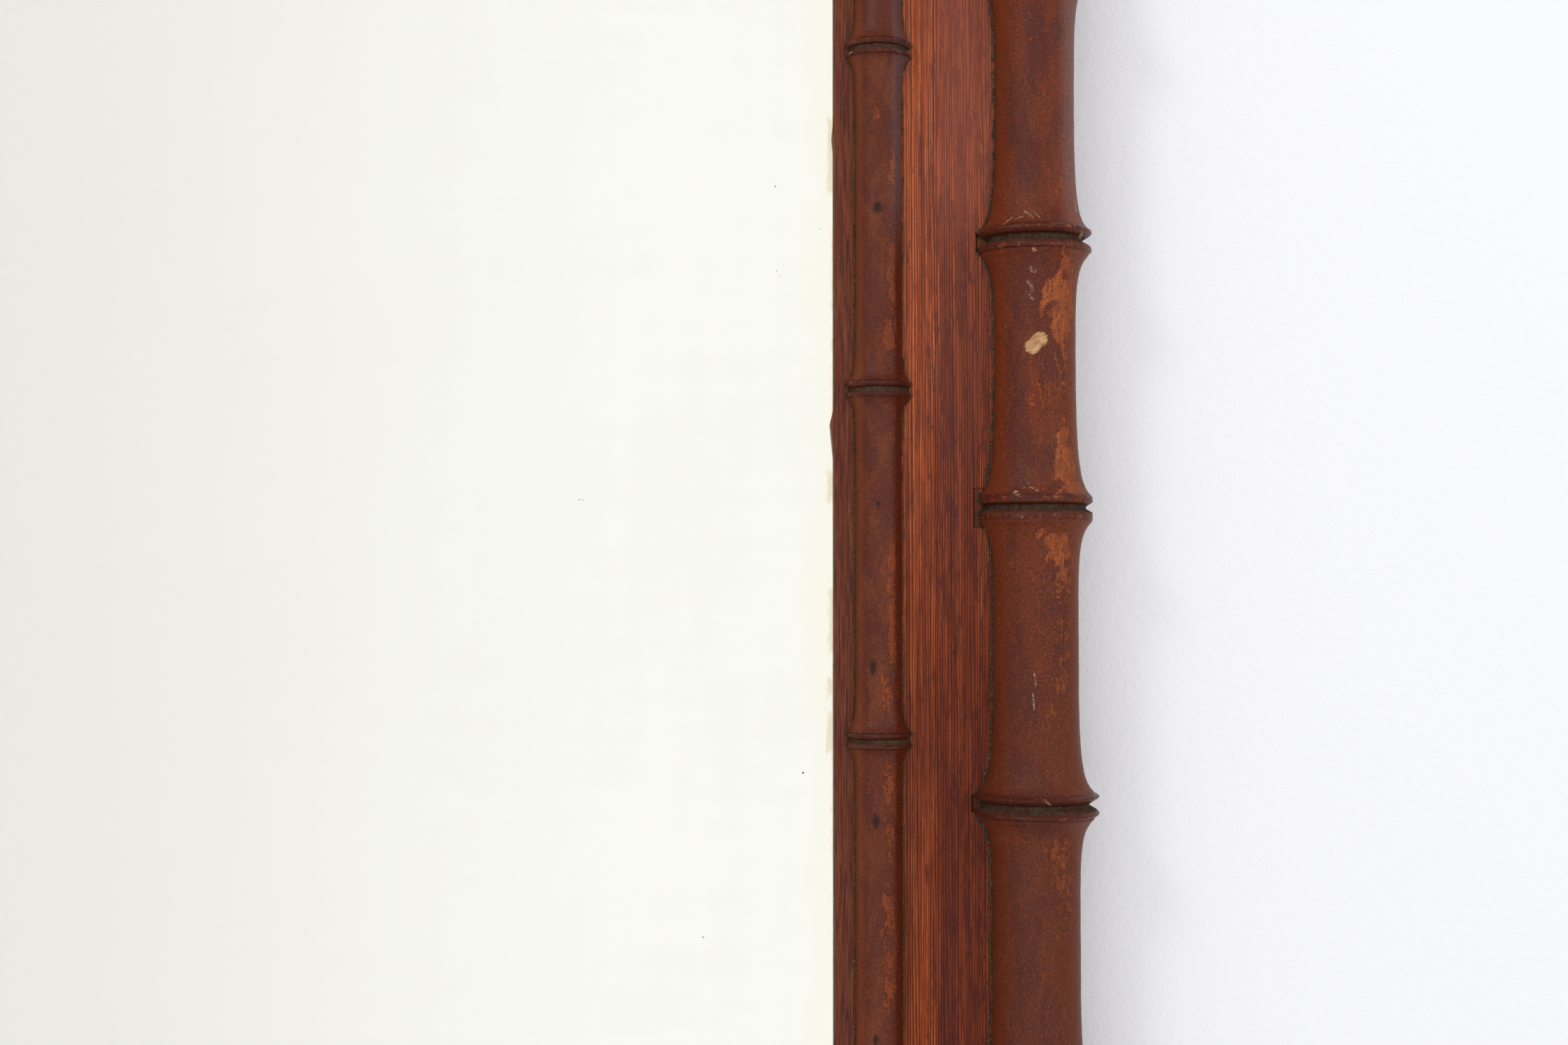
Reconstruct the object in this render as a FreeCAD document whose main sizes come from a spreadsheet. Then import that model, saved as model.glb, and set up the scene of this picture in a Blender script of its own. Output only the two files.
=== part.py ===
import FreeCAD, Part
import os
import re

import Sketcher

# A tall wall mirror in a stained pine frame, trimmed with turned wood made to look like bamboo.
# X runs to the right, Z runs up and the front faces -Y. The origin is the middle of the back,
# on the face that lies against the wall. All lengths are millimetres.

# Driving sizes, as (name, length, what it measures).
FRAME_SIZES = [
    ("frame_width", 554, "between the axes of the upright canes, the same as the boards outside"),
    ("frame_height", 660, "between the axes of the level canes, the same as the boards outside"),
    ("board_width", 77, "of the flat pine boards, from the sight edge to the cane's axis"),
    ("board_thickness", 25, "of the flat pine boards"),
    ("lip_thickness", 10, "of wood in front of the glass"),
    ("rebate_width", 12, "of the step that the glass lies in"),
    ("tenon_length", 45, "of the rail's tenon, let into the stile"),
    ("tenon_width", 46, "of the tenon across the rail"),
    ("tenon_thickness", 8, "of the tenon"),
    ("tenon_shoulder", 4, "from the rebate to the tenon"),
    ("tenon_play", 0.1, "between the tenon and its mortise"),
    ("peg_side", 6, "of the square peg through a tenon"),
    ("peg_length", 20, "of the peg, driven in flush from the back"),
    ("peg_inset", 15, "from the stile's inner edge to the peg"),
    ("peg_play", 0.05, "round the peg"),
]
CANE_SIZES = [
    ("cane_radius", 16, "of the outer cane between its joints"),
    ("collar_radius", 23, "of the outer cane at the lips of a joint"),
    ("collar_groove", 3.8, "depth of the groove between the two lips"),
    ("lip_spacing", 6.6, "from one lip to the other"),
    ("flare_length", 8, "of the swelling over a joint"),
    ("short_flare_length", 5.5, "of the swelling under a joint"),
    ("cane_overrun", 36, "of an upright cane past the level cane's axis"),
    ("cope_gap", 0.2, "between a level cane's hollowed end and the upright cane"),
    ("notch_depth", 2, "of the chiselled notch in the board's face, behind a joint"),
    ("notch_half_height", 7.7, "of the notch, each way from the joint"),
    ("notch_reach", 2, "of the notch past the lips"),
]
BEAD_SIZES = [
    ("bead_inset", 17, "from the sight edge to the bead's axis"),
    ("bead_radius", 9, "of the half-round bead between its joints"),
    ("bead_collar_radius", 12.8, "of the bead at the lips of a joint"),
    ("bead_groove", 1.8, "depth of the groove between the bead's lips"),
    ("bead_lip_spacing", 4.4, "from one lip to the other"),
    ("bead_flare", 5.5, "length of the swelling on each side of a joint"),
    ("mitre_gap", 0.1, "taken off each mitred end"),
]
GLASS_SIZES = [
    ("glass_thickness", 4, "of the mirror plate"),
    ("glass_play", 1.5, "between the plate's edge and the rebate"),
    ("silver_thickness", 0.4, "of the silvering and its paint"),
    ("block_length", 45, "of a glue block that holds the glass"),
    ("block_width", 9, "of the block's foot, on the glass"),
    ("block_crest", 3, "width of the block's narrow face"),
    ("block_height", 9, "of the block, off the glass"),
]
BACK_SIZES = [
    ("plank_thickness", 6, "of the backboard"),
    ("plank_overlap", 10, "of the backboard past the rebate"),
    ("plank_gap", 0.8, "between two planks of the backboard"),
    ("nail_side", 2.2, "of a backboard nail, which is square"),
    ("nail_head_side", 5, "of the nail's head"),
    ("nail_head_height", 0.8, "of the nail's head, set flush"),
    ("nail_length", 14, "of a backboard nail"),
    ("nail_inset", 5, "from the backboard's edge to a nail"),
    ("nail_side_inset", 12, "from a plank's side to its nails"),
]
CANE_NAIL_SIZES = [
    ("nail_play", 0.05, "round every nail"),
    ("cane_nail_side", 3.2, "of the square nails that hold the canes"),
    ("cane_nail_head_side", 7, "of the cane nail's head"),
    ("cane_nail_head_height", 1.6, "of the cane nail's head"),
    ("cane_nail_sink", 2.4, "depth of the head's hole in the back"),
    ("cane_nail_bite", 8, "of the nail in the cane"),
    ("cane_nail_inset", 8, "from the cane's axis to the nail"),
]
HANGER_SIZES = [
    ("ring_clearance", 2.5, "between the ring's bow and the backboard under it"),
    ("strap_width", 14, "of the hanger's strap"),
    ("strap_margin", 4, "from the strap's upper end to the rail's outer edge"),
    ("strap_thickness", 1.2, "of the strap"),
    ("bar_radius", 1, "of the ring's bar"),
    ("bar_play", 0.08, "between the ring's bar and the curl of the strap"),
    ("ring_radius", 11.5, "of the ring's bow, outside"),
    ("ring_band", 3, "width of metal round the ring"),
    ("ring_thickness", 2, "of the ring, the same as its bar"),
    ("ring_leg", 4, "from the ring's bar to the middle of its bow"),
    ("hanger_nail_side", 2.4, "of the hanger's square nails"),
    ("hanger_nail_head_side", 5.5, "of their heads"),
    ("hanger_nail_head_height", 1.2, "of their heads"),
    ("hanger_nail_bite", 14, "of the nails in the rail"),
]
SHOP_SIZES = [
    ("cutter_overrun", 1, "of a cut past the faces that it opens"),
]

# Joints of the upright canes, from the foot up: place as a share of frame_height from the
# middle, and girth as a share of the cane's radii, because these canes taper.
UPRIGHT_NODE_SHARES = [
    (-0.3141, 1.065), (-0.1427, 1.052), (0.0282, 0.996), (0.1827, 0.957), (0.3421, 0.945),
]
# The same for the level canes, as shares of frame_width.
LEVEL_NODE_SHARES = [(-0.240, 0.93), (0, 0.93), (0.240, 0.93)]
# Nails that hold the canes, between their joints, as the same shares.
UPRIGHT_NAIL_SHARES = [-0.2284, 0.1055, 0.4100]
LEVEL_NAIL_SHARES = [-0.120, 0.120]

# Joints of the beads, as shares of the length of the sight opening.
UPRIGHT_BEAD_SHARES = [-0.3950, -0.1381, 0.1259, 0.3836]
LEVEL_BEAD_SHARES = [-0.170, 0.170]

# Glue blocks, as shares of the length of the sight opening, and side nails, as shares of
# frame_height.
UPRIGHT_BLOCK_SHARES = [-0.35, 0, 0.35]
LEVEL_BLOCK_SHARES = [-0.30, 0.30]
SIDE_NAIL_SHARES = [-0.14, 0.14]
# Nails of the hanger, from its hinge up, as shares of the strap's length.
HANGER_NAIL_SHARES = [0.30, 0.76]
PLANK_COUNT = 3

HALF_WIDTH = "frame_width / 2"
HALF_HEIGHT = "frame_height / 2"
HALF_SIGHT_WIDTH = "(frame_width / 2 - board_width)"
HALF_SIGHT_HEIGHT = "(frame_height / 2 - board_width)"
REBATE_DEPTH = "(board_thickness - lip_thickness)"

# Every cut, so that the end of the build can tell whether each one took something away.
cuts = []

doc = FreeCAD.newDocument("BambooMirror")
sheet = doc.addObject("Spreadsheet::Sheet", "Sizes")
groups = [
    FRAME_SIZES, CANE_SIZES, BEAD_SIZES, GLASS_SIZES, BACK_SIZES, CANE_NAIL_SIZES,
    HANGER_SIZES, SHOP_SIZES,
]
for row, (name, value, meaning) in enumerate(sum(groups, []), start=1):
    sheet.set(f"A{row}", name)
    sheet.set(f"B{row}", str(value))
    sheet.setAlias(f"B{row}", name)
    sheet.set(f"C{row}", meaning)
doc.recompute()


def formula(text):
    """Spell a length that is written in the sheet's names the way the document needs it."""
    return re.sub(r"[a-z]+(?:_[a-z]+)+", lambda found: "Sizes." + found.group(), text)


def length(text):
    """Give the same length as a number."""
    return float(sheet.evalExpression(formula(text)))


def bind(thing, **sizes):
    """Tie the named properties of an object to the sheet."""
    for prop, text in sizes.items():
        thing.setExpression(prop, formula(text))


def place(thing, x="0", y="0", z="0", turn=0, axis=FreeCAD.Vector(0, 1, 0)):
    """Put an object at a point of the sheet's lengths, turned about an axis by degrees."""
    thing.Placement = FreeCAD.Placement(FreeCAD.Vector(), FreeCAD.Rotation(axis, turn))
    for letter, text in zip("xyz", (x, y, z)):
        thing.setExpression(f"Placement.Base.{letter}", formula(text))


# Sketches


def new_sketch(body, name, role, rise="0"):
    """Start a sketch on one of the body's own planes, raised off it by a length."""
    plane = next(item for item in body.Origin.OriginFeatures if item.Role == role)
    sketch = body.newObject("Sketcher::SketchObject", name)
    sketch.AttachmentSupport = (plane, [""])
    sketch.MapMode = "FlatFace"
    sketch.setExpression("AttachmentOffset.Base.z", formula(rise))
    return sketch


def draw_loop(sketch, corners):
    """Draw a closed outline through the corners, each an (x, y) pair of lengths."""
    spots = [FreeCAD.Vector(length(x), length(y), 0) for x, y in corners]
    base = sketch.GeometryCount
    ends = spots[1:] + spots[:1]
    sketch.addGeometry([Part.LineSegment(*pair) for pair in zip(spots, ends)], False)
    count = len(spots)
    rules = [
        Sketcher.Constraint("Coincident", base + index, 2, base + (index + 1) % count, 1)
        for index in range(count)
    ]
    texts = []
    for index, spot in enumerate(spots):
        for kind, value, text in zip(("DistanceX", "DistanceY"), spot, corners[index]):
            texts.append((len(rules), text))
            rules.append(Sketcher.Constraint(kind, -1, 1, base + index, 1, value))
    tie(sketch, rules, texts)


def tie(sketch, rules, texts):
    """Add rules to a sketch, and bind those that texts names to lengths of the sheet."""
    base = sketch.ConstraintCount
    sketch.addConstraint(rules)
    for index, text in texts:
        if text != "0":
            sketch.setExpression(f"Constraints[{base + index}]", formula(text))


def draw_box(sketch, left, right, low, high):
    """Draw a rectangle."""
    draw_loop(sketch, [(left, low), (right, low), (right, high), (left, high)])


def draw_circle(sketch, x, y, radius):
    """Draw a circle."""
    centre = FreeCAD.Vector(length(x), length(y), 0)
    circle = Part.Circle(centre, FreeCAD.Vector(0, 0, 1), length(radius))
    index = sketch.addGeometry(circle, False)
    rules = [
        Sketcher.Constraint("DistanceX", -1, 1, index, 3, centre.x),
        Sketcher.Constraint("DistanceY", -1, 1, index, 3, centre.y),
        Sketcher.Constraint("Radius", index, circle.Radius),
    ]
    tie(sketch, rules, enumerate((x, y, radius)))


# Features


def new_body(label):
    """Start a body that becomes one named piece."""
    body = doc.addObject("PartDesign::Body", label.title().replace("_", ""))
    body.Label = label
    return body


def pad(body, sketch, depth, backwards=False):
    """Build the sketch up by a depth."""
    feature = body.newObject("PartDesign::Pad", sketch.Name + "Pad")
    feature.Profile = sketch
    feature.Reversed = backwards
    bind(feature, Length=depth)
    return feature


def pocket(body, sketch, depth, backwards=False):
    """Cut the sketch away to a depth."""
    feature = body.newObject("PartDesign::Pocket", sketch.Name + "Cut")
    feature.Profile = sketch
    feature.Reversed = backwards
    bind(feature, Length=depth)
    cuts.append(feature)
    return feature


def revolve(body, sketch, angle=360, backwards=False):
    """Turn the sketch about the body's upright axis."""
    feature = body.newObject("PartDesign::Revolution", sketch.Name + "Turning")
    feature.Profile = sketch
    feature.ReferenceAxis = (sketch, ["V_Axis"])
    feature.Angle = angle
    feature.Reversed = backwards
    return feature


def punch(body, name, spots, side, depth, rise="0", backwards=True):
    """Cut square holes, each at an (x, z) place, into a face square to Y."""
    sketch = new_sketch(body, name, "XZ_Plane", rise)
    for x, z in spots:
        draw_box(sketch, f"{x} - {side} / 2", f"{x} + {side} / 2",
                 f"{z} - {side} / 2", f"{z} + {side} / 2")
    return pocket(body, sketch, depth, backwards)


def group(label, pieces):
    """Gather separate solids in one named piece."""
    whole = doc.addObject("Part::Compound", label.title().replace("_", ""))
    whole.Label = label
    whole.Links = pieces
    return whole


class Side:
    """One side of the frame, drawn as if it were the right one and turned to its place.

    Local x is the distance outwards from the sight edge, local z runs along the board, and
    the board's back lies at local y of zero. "turn" is the side's angle about Y. A side that is
    turned half round runs downwards, so its tables of places run the other way.
    """

    def __init__(self, name, turn, upright):
        self.name = name
        self.turn = turn
        self.upright = upright
        self.way = -1 if name == "left" else 1
        self.half_outer = HALF_HEIGHT if upright else HALF_WIDTH
        self.half_sight = HALF_SIGHT_HEIGHT if upright else HALF_SIGHT_WIDTH
        self.half_reach = HALF_SIGHT_WIDTH if upright else HALF_SIGHT_HEIGHT

    def places(self, shares, whole):
        """Turn a table of shares into lengths along this side."""
        return [f"{self.way * share} * {whole}" for share in sorted(shares, key=self.order)]

    def order(self, share):
        """Sort key that keeps places rising along the local axis."""
        return self.way * share

    def seat(self, thing, out="0", back="0"):
        """Place a piece at a distance out from the sight edge and back from the board's back."""
        reach = f"({self.half_reach} + {out})"
        inward = f"-{reach}" if self.name in ("left", "bottom") else reach
        depth = f"{back} - plank_thickness"
        if self.upright:
            place(thing, x=inward, y=depth, turn=self.turn)
        else:
            place(thing, z=inward, y=depth, turn=self.turn)

    def nodes(self):
        """Places and girths of this side's cane joints, rising along the local axis."""
        table = UPRIGHT_NODE_SHARES if self.upright else LEVEL_NODE_SHARES
        whole = "frame_height" if self.upright else "frame_width"
        rising = sorted((self.way * share, girth) for share, girth in table)
        return [(f"{share} * {whole}", girth) for share, girth in rising]

    def cane_nails(self):
        """Places of the nails that hold the cane."""
        if self.upright:
            return self.places(UPRIGHT_NAIL_SHARES, "frame_height")
        return self.places(LEVEL_NAIL_SHARES, "frame_width")

    def along_sight(self, upright_shares, level_shares):
        """Places that are shares of the sight opening's length."""
        shares = upright_shares if self.upright else level_shares
        return self.places(shares, f"2 * {self.half_sight}")


SIDES = [
    Side("right", 0, True),
    Side("top", -90, False),
    Side("left", 180, True),
    Side("bottom", 90, False),
]


# Frame boards


def tenon_edges():
    """The tenon's reach across the board, from its inner to its outer side."""
    inner = "(rebate_width + tenon_shoulder)"
    return inner, f"({inner} + tenon_width)"


def cut_board(side):
    """Make one flat board with its rebate, joint, notches and holes."""
    body = new_body(f"{side.name}_{'stile' if side.upright else 'rail'}")
    half = side.half_outer if side.upright else side.half_sight
    section = new_sketch(body, f"{side.name}BoardSection", "XY_Plane", f"-({half})")
    draw_box(section, "0", "board_width", "-board_thickness", "0")
    pad(body, section, f"2 * {half}")

    rebate = new_sketch(body, f"{side.name}Rebate", "XZ_Plane")
    end = f"({side.half_sight} + {'rebate_width' if side.upright else 'cutter_overrun'})"
    draw_box(rebate, "-cutter_overrun", "rebate_width", f"-{end}", end)
    pocket(body, rebate, REBATE_DEPTH, backwards=True)

    if side.upright:
        cut_mortises(body, side)
    else:
        add_tenons(body, side)

    notches = new_sketch(body, f"{side.name}Notches", "XZ_Plane", "board_thickness")
    for where, girth in side.nodes():
        reach = f"board_width - collar_radius * {girth} - notch_reach"
        low = f"{where} - notch_half_height"
        high = f"{where} + notch_half_height"
        draw_box(notches, reach, "board_width + cutter_overrun", low, high)
    pocket(body, notches, "notch_depth")

    spots = [("board_width - cane_nail_inset", where) for where in side.cane_nails()]
    punch(body, f"{side.name}CaneNailHoles", spots, "(cane_nail_side + 2 * nail_play)",
          "board_thickness")
    punch(body, f"{side.name}CaneHeadHoles", spots, "(cane_nail_head_side + 2 * nail_play)",
          "cane_nail_sink")
    punch(body, f"{side.name}NailHoles", nail_places(side), "(nail_side + 2 * nail_play)",
          "nail_length - plank_thickness + nail_play")
    out, along = ("peg_inset", peg_place()) if side.upright else (peg_place(), "peg_inset")
    spots = [(out, f"{sign}({side.half_sight} + {along})") for sign in ("", "-")]
    punch(body, f"{side.name}PegHoles", spots, "(peg_side + 2 * peg_play)",
          "peg_length + peg_play")
    if side.name == "top":
        spots = [(f"{hanger_rise()} + {rise}", "0") for rise in hanger_nail_places()]
        punch(body, "HangerNailHoles", spots, "(hanger_nail_side + 2 * nail_play)",
              "hanger_nail_bite + nail_play")
    side.seat(body)
    return body


def peg_place():
    """Distance of a peg from the sight edge, in the middle of the tenon's width."""
    inner, outer = tenon_edges()
    return f"(({inner} + {outer}) / 2)"


def cut_mortises(body, side):
    """Cut the two blind mortises that take the rails' tenons."""
    inner, outer = tenon_edges()
    sketch = new_sketch(body, f"{side.name}Mortises", "YZ_Plane")
    deep = "-((board_thickness + tenon_thickness) / 2 + tenon_play)"
    shallow = "-((board_thickness - tenon_thickness) / 2 - tenon_play)"
    for sign in ("", "-"):
        near = f"{sign}({side.half_sight} + {inner} - tenon_play)"
        far = f"{sign}({side.half_sight} + {outer} + tenon_play)"
        draw_box(sketch, deep, shallow, near, far)
    pocket(body, sketch, "tenon_length + tenon_play", backwards=True)


def add_tenons(body, side):
    """Leave a tenon on each end of a rail."""
    inner, outer = tenon_edges()
    deep = "-(board_thickness + tenon_thickness) / 2"
    shallow = "-(board_thickness - tenon_thickness) / 2"
    for sign, word in (("", "First"), ("-", "Second")):
        sketch = new_sketch(body, f"{side.name}{word}Tenon", "XY_Plane",
                            f"{sign}{side.half_sight}")
        draw_box(sketch, inner, outer, deep, shallow)
        pad(body, sketch, "tenon_length", backwards=sign == "-")


def tenon_pegs():
    """Make the four square pegs that lock the corners, driven in from the back."""
    across = f"({HALF_SIGHT_WIDTH} + peg_inset)"
    up = f"({HALF_SIGHT_HEIGHT} + {peg_place()})"
    pegs = []
    for side, way, corner in (("", "", "TopRight"), ("", "-", "BottomRight"),
                              ("-", "", "TopLeft"), ("-", "-", "BottomLeft")):
        peg = doc.addObject("Part::Box", f"{corner}Peg")
        bind(peg, Length="peg_side", Width="peg_length", Height="peg_side")
        place(peg, f"{side}{across} - peg_side / 2", "-(peg_length + plank_thickness)",
              f"{way}{up} - peg_side / 2")
        pegs.append(peg)
    return group("tenon_pegs", pegs)


# Turned canes


def joint_corners(where, radii, lip, groove, spacing, flares):
    """Outline of one turned joint: a swelling, a lip, a groove, a lip and a swelling.

    The radii and the lengths of the swellings are pairs, under the joint and over it.
    """
    low = f"{where} - {spacing} / 2"
    high = f"{where} + {spacing} / 2"
    return [
        (radii[0], f"{low} - {flares[0]}"), (lip, low), (f"{lip} - {groove}", where),
        (lip, high), (radii[1], f"{high} + {flares[1]}"),
    ]


def cane_corners(side):
    """Half outline of a cane, whose stretches step in girth from one joint to the next."""
    nodes = side.nodes()
    girths = [girth for _, girth in nodes]
    stretches = [(low + high) / 2 for low, high in zip(girths, girths[1:])]
    stretches = [girths[0]] + stretches + [girths[-1]]
    radii = [f"cane_radius * {girth}" for girth in stretches]
    corners = cane_end(side, girths[0])
    flares = ("short_flare_length", "flare_length")[::side.way]
    for index, (where, girth) in enumerate(nodes):
        corners += joint_corners(where, radii[index:index + 2], f"collar_radius * {girth}",
                                 "collar_groove", "lip_spacing", flares)
    end = [(radius, f"-({rise})") for radius, rise in cane_end(side, girths[-1])]
    return corners + end[::-1]


def cane_end(side, girth):
    """Outline of a cane's lower end: sawn off at a lip on an upright cane, else plain."""
    if not side.upright:
        return [("0", f"-{side.half_outer}"), (f"cane_radius * {girth}", f"-{side.half_outer}")]
    end = f"({side.half_outer} + cane_overrun)"
    return [
        ("0", f"-{end}"), (f"collar_radius * {girth}", f"-{end}"),
        (f"cane_radius * {girth}", f"flare_length - {end}"),
    ]


def turn_cane(side):
    """Make one cane, cut away where it sits over the board's outer corner."""
    body = new_body(f"{side.name}_cane")
    profile = new_sketch(body, f"{side.name}CaneProfile", "XZ_Plane")
    draw_loop(profile, [(f"-({radius})", rise) for radius, rise in cane_corners(side)])
    revolve(body, profile)

    widest = f"(collar_radius * {max(girth for _, girth in side.nodes())} + cutter_overrun)"
    seat = new_sketch(body, f"{side.name}CaneSeat", "XZ_Plane")
    draw_box(seat, f"-{widest}", "0", f"-{side.half_outer}", side.half_outer)
    pocket(body, seat, widest)

    spots = [("-cane_nail_inset", where) for where in side.cane_nails()]
    punch(body, f"{side.name}CaneHoles", spots, "(cane_nail_side + 2 * nail_play)",
          "cane_nail_bite + nail_play")
    if not side.upright:
        cope_ends(body, side)
    side.seat(body, "board_width", "-board_thickness")
    return body


def cope_ends(body, side):
    """Hollow a level cane's ends to fit round the upright canes."""
    girth = UPRIGHT_NODE_SHARES[-1 if side.name == "top" else 0][1]
    sketch = new_sketch(body, f"{side.name}Cope", "YZ_Plane", "-(cane_radius + cutter_overrun)")
    for sign in ("", "-"):
        draw_circle(sketch, "0", f"{sign}{side.half_outer}", f"cane_radius * {girth} + cope_gap")
    pocket(body, sketch, "2 * (cane_radius + cutter_overrun)", backwards=True)


# Half-round beads


def turn_bead(side):
    """Make one half-round bead, mitred at both ends."""
    body = new_body(f"{side.name}_bead")
    end = f"({side.half_sight} + bead_inset)"
    reach = f"({end} + bead_collar_radius)"
    corners = [("0", f"-{reach}"), ("bead_radius", f"-{reach}")]
    for where in side.along_sight(UPRIGHT_BEAD_SHARES, LEVEL_BEAD_SHARES):
        corners += joint_corners(where, ["bead_radius"] * 2, "bead_collar_radius", "bead_groove",
                                 "bead_lip_spacing", ["bead_flare"] * 2)
    corners += [("bead_radius", reach), ("0", reach)]
    profile = new_sketch(body, f"{side.name}BeadProfile", "XZ_Plane")
    draw_loop(profile, corners)
    revolve(body, profile, 180, backwards=True)

    mitre = new_sketch(body, f"{side.name}Mitre", "XZ_Plane", "-cutter_overrun")
    out = "(bead_collar_radius + cutter_overrun)"
    for sign in ("", "-"):
        near = f"{sign}({end} - mitre_gap - {out})"
        far = f"{sign}({end} - mitre_gap + {out})"
        beyond = f"{sign}({reach} + cutter_overrun + {out})"
        draw_loop(mitre, [(f"-{out}", near), (out, far), (out, beyond), (f"-{out}", beyond)])
    pocket(body, mitre, "bead_collar_radius + 2 * cutter_overrun", backwards=True)

    side.seat(body, "bead_inset", "-board_thickness")
    return body


# Glass, glue blocks and backboard


def flat_plate(label, half_wide, half_high, front, thick):
    """Make a plain sheet, its front face at a height off the wall."""
    body = new_body(label)
    sketch = new_sketch(body, label.title().replace("_", "") + "Outline", "XZ_Plane")
    draw_box(sketch, f"-{half_wide}", half_wide, f"-{half_high}", half_high)
    pad(body, sketch, thick)
    place(body, y=f"-({front} - {thick})")
    return body


def glue_blocks(side):
    """Make one side's row of blocks, which wedge the glass in its rebate."""
    foot = f"({REBATE_DEPTH} - glass_thickness - silver_thickness)"
    blocks = []
    for index, where in enumerate(side.along_sight(UPRIGHT_BLOCK_SHARES, LEVEL_BLOCK_SHARES)):
        block = doc.addObject("Part::Wedge", f"{side.name}Block{index + 1}")
        bind(block, Xmin="rebate_width - block_width", Xmax="rebate_width",
             X2min="rebate_width - block_crest", X2max="rebate_width",
             Ymin=f"-{foot}", Ymax=f"block_height - {foot}",
             Zmin=f"{where} - block_length / 2", Zmax=f"{where} + block_length / 2",
             Z2min=f"{where} - block_length / 2", Z2max=f"{where} + block_length / 2")
        blocks.append(block)
    row = group(f"{side.name}_glue_blocks", blocks)
    side.seat(row)
    return row


def plank_half_height():
    """Half the backboard's height."""
    return f"({HALF_SIGHT_HEIGHT} + rebate_width + plank_overlap)"


def plank_half_width():
    """Half the backboard's width."""
    return f"({HALF_SIGHT_WIDTH} + rebate_width + plank_overlap)"


def plank_width():
    """Width of one plank of the backboard."""
    return f"((2 * {plank_half_width()} - {PLANK_COUNT - 1} * plank_gap) / {PLANK_COUNT})"


def plank_middles():
    """Middle of each plank, from left to right."""
    step = f"({plank_width()} + plank_gap)"
    return [f"{index - (PLANK_COUNT - 1) / 2} * {step}" for index in range(PLANK_COUNT)]


def end_nail_places():
    """Places of the nails along the backboard's top edge, from the frame's middle."""
    aside = f"({plank_width()} / 2 - nail_side_inset)"
    return [f"{middle} {sign} {aside}" for middle in plank_middles() for sign in "-+"]


def nail_places(side):
    """Nail holes that one board gets, in its own x and z."""
    edge = f"({plank_half_height()} - nail_inset)"
    if not side.upright:
        inner = end_nail_places()[1:-1]
        return [(f"{edge} - {HALF_SIGHT_HEIGHT}", where) for where in inner]
    outward = f"{plank_half_width()} - nail_inset - {HALF_SIGHT_WIDTH}"
    spots = [(outward, where) for where in side.places(SIDE_NAIL_SHARES, "frame_height")]
    corner = f"{end_nail_places()[-1]} - {HALF_SIGHT_WIDTH}"
    return spots + [(corner, edge), (corner, f"-{edge}")]


def plank_nails(index):
    """Nail places on one plank, from the plank's own middle."""
    edge = f"({plank_half_height()} - nail_inset)"
    aside = f"({plank_width()} / 2 - nail_side_inset)"
    spots = [(f"{x}{aside}", f"{z}{edge}") for x in ("", "-") for z in ("", "-")]
    if index in (0, PLANK_COUNT - 1):
        sign = "-" if index == 0 else ""
        outward = f"{sign}({plank_width()} / 2 - nail_inset)"
        spots += [(outward, f"{share} * frame_height") for share in SIDE_NAIL_SHARES]
    return spots


def cut_plank(index, middle):
    """Make one upright plank of the backboard, with its nail holes."""
    body = new_body(f"back_plank_{index + 1}")
    sketch = new_sketch(body, f"Plank{index + 1}Outline", "XZ_Plane")
    half = f"{plank_width()} / 2"
    draw_box(sketch, f"-{half}", half, f"-{plank_half_height()}", plank_half_height())
    pad(body, sketch, "plank_thickness")
    spots = plank_nails(index)
    punch(body, f"Plank{index + 1}NailHoles", spots, "(nail_side + 2 * nail_play)",
          "plank_thickness")
    punch(body, f"Plank{index + 1}HeadHoles", spots, "(nail_head_side + 2 * nail_play)",
          "nail_head_height")
    place(body, x=middle)
    return body


# Nails


def square_nail(name, x, z, start, head, shaft):
    """Make one cut nail that points to the front: head and shaft are (side, length) pairs."""
    parts = []
    for word, (side, reach) in (("Head", head), ("Shaft", shaft)):
        block = doc.addObject("Part::Box", name + word)
        bind(block, Length=side, Width=reach, Height=side)
        place(block, f"{x} - {side} / 2", f"{start} - ({reach})", f"{z} - {side} / 2")
        parts.append(block)
    whole = doc.addObject("Part::MultiFuse", name)
    whole.Shapes = parts
    return whole


def cane_nails(side):
    """Make the nails that hold one cane, from the back of its board."""
    start = "(cane_nail_head_height - cane_nail_sink)"
    head = ("cane_nail_head_side", "cane_nail_head_height")
    shaft = ("cane_nail_side", f"board_thickness + cane_nail_bite + {start}")
    nails = [
        square_nail(f"{side.name}CaneNail{index + 1}", "board_width - cane_nail_inset", where,
                    start, head, shaft)
        for index, where in enumerate(side.cane_nails())
    ]
    row = group(f"{side.name}_cane_nails", nails)
    side.seat(row)
    return row


def backboard_nails():
    """Make the nails of all planks as one group."""
    head = ("nail_head_side", "nail_head_height")
    shaft = ("nail_side", "nail_length")
    nails = []
    for index, middle in enumerate(plank_middles()):
        for number, (x, z) in enumerate(plank_nails(index)):
            name = f"Plank{index + 1}Nail{number + 1}"
            nails.append(square_nail(name, f"{middle} + {x}", z, "0", head, shaft))
    return group("backboard_nails", nails)


# Hanger


def curl_centre():
    """Height of the ring's bar off the back of the rail."""
    return "(strap_thickness + bar_radius + bar_play)"


def hanger_rise():
    """Height of the ring's hinge over the sight edge, so that the ring clears the backboard."""
    return "(rebate_width + plank_overlap + ring_clearance + ring_radius + ring_leg)"


def strap_length():
    """Length of the strap over its hinge."""
    return f"(board_width - {hanger_rise()} - strap_margin)"


def hanger_nail_places():
    """Heights of the hanger's nails over its hinge."""
    return [f"{share} * {strap_length()}" for share in HANGER_NAIL_SHARES]


def hang(thing, off="0"):
    """Place a piece of the hanger at its hinge, at a height off the rail's back."""
    place(thing, y=f"{off} - plank_thickness", z=f"{HALF_SIGHT_HEIGHT} + {hanger_rise()}")


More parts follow.
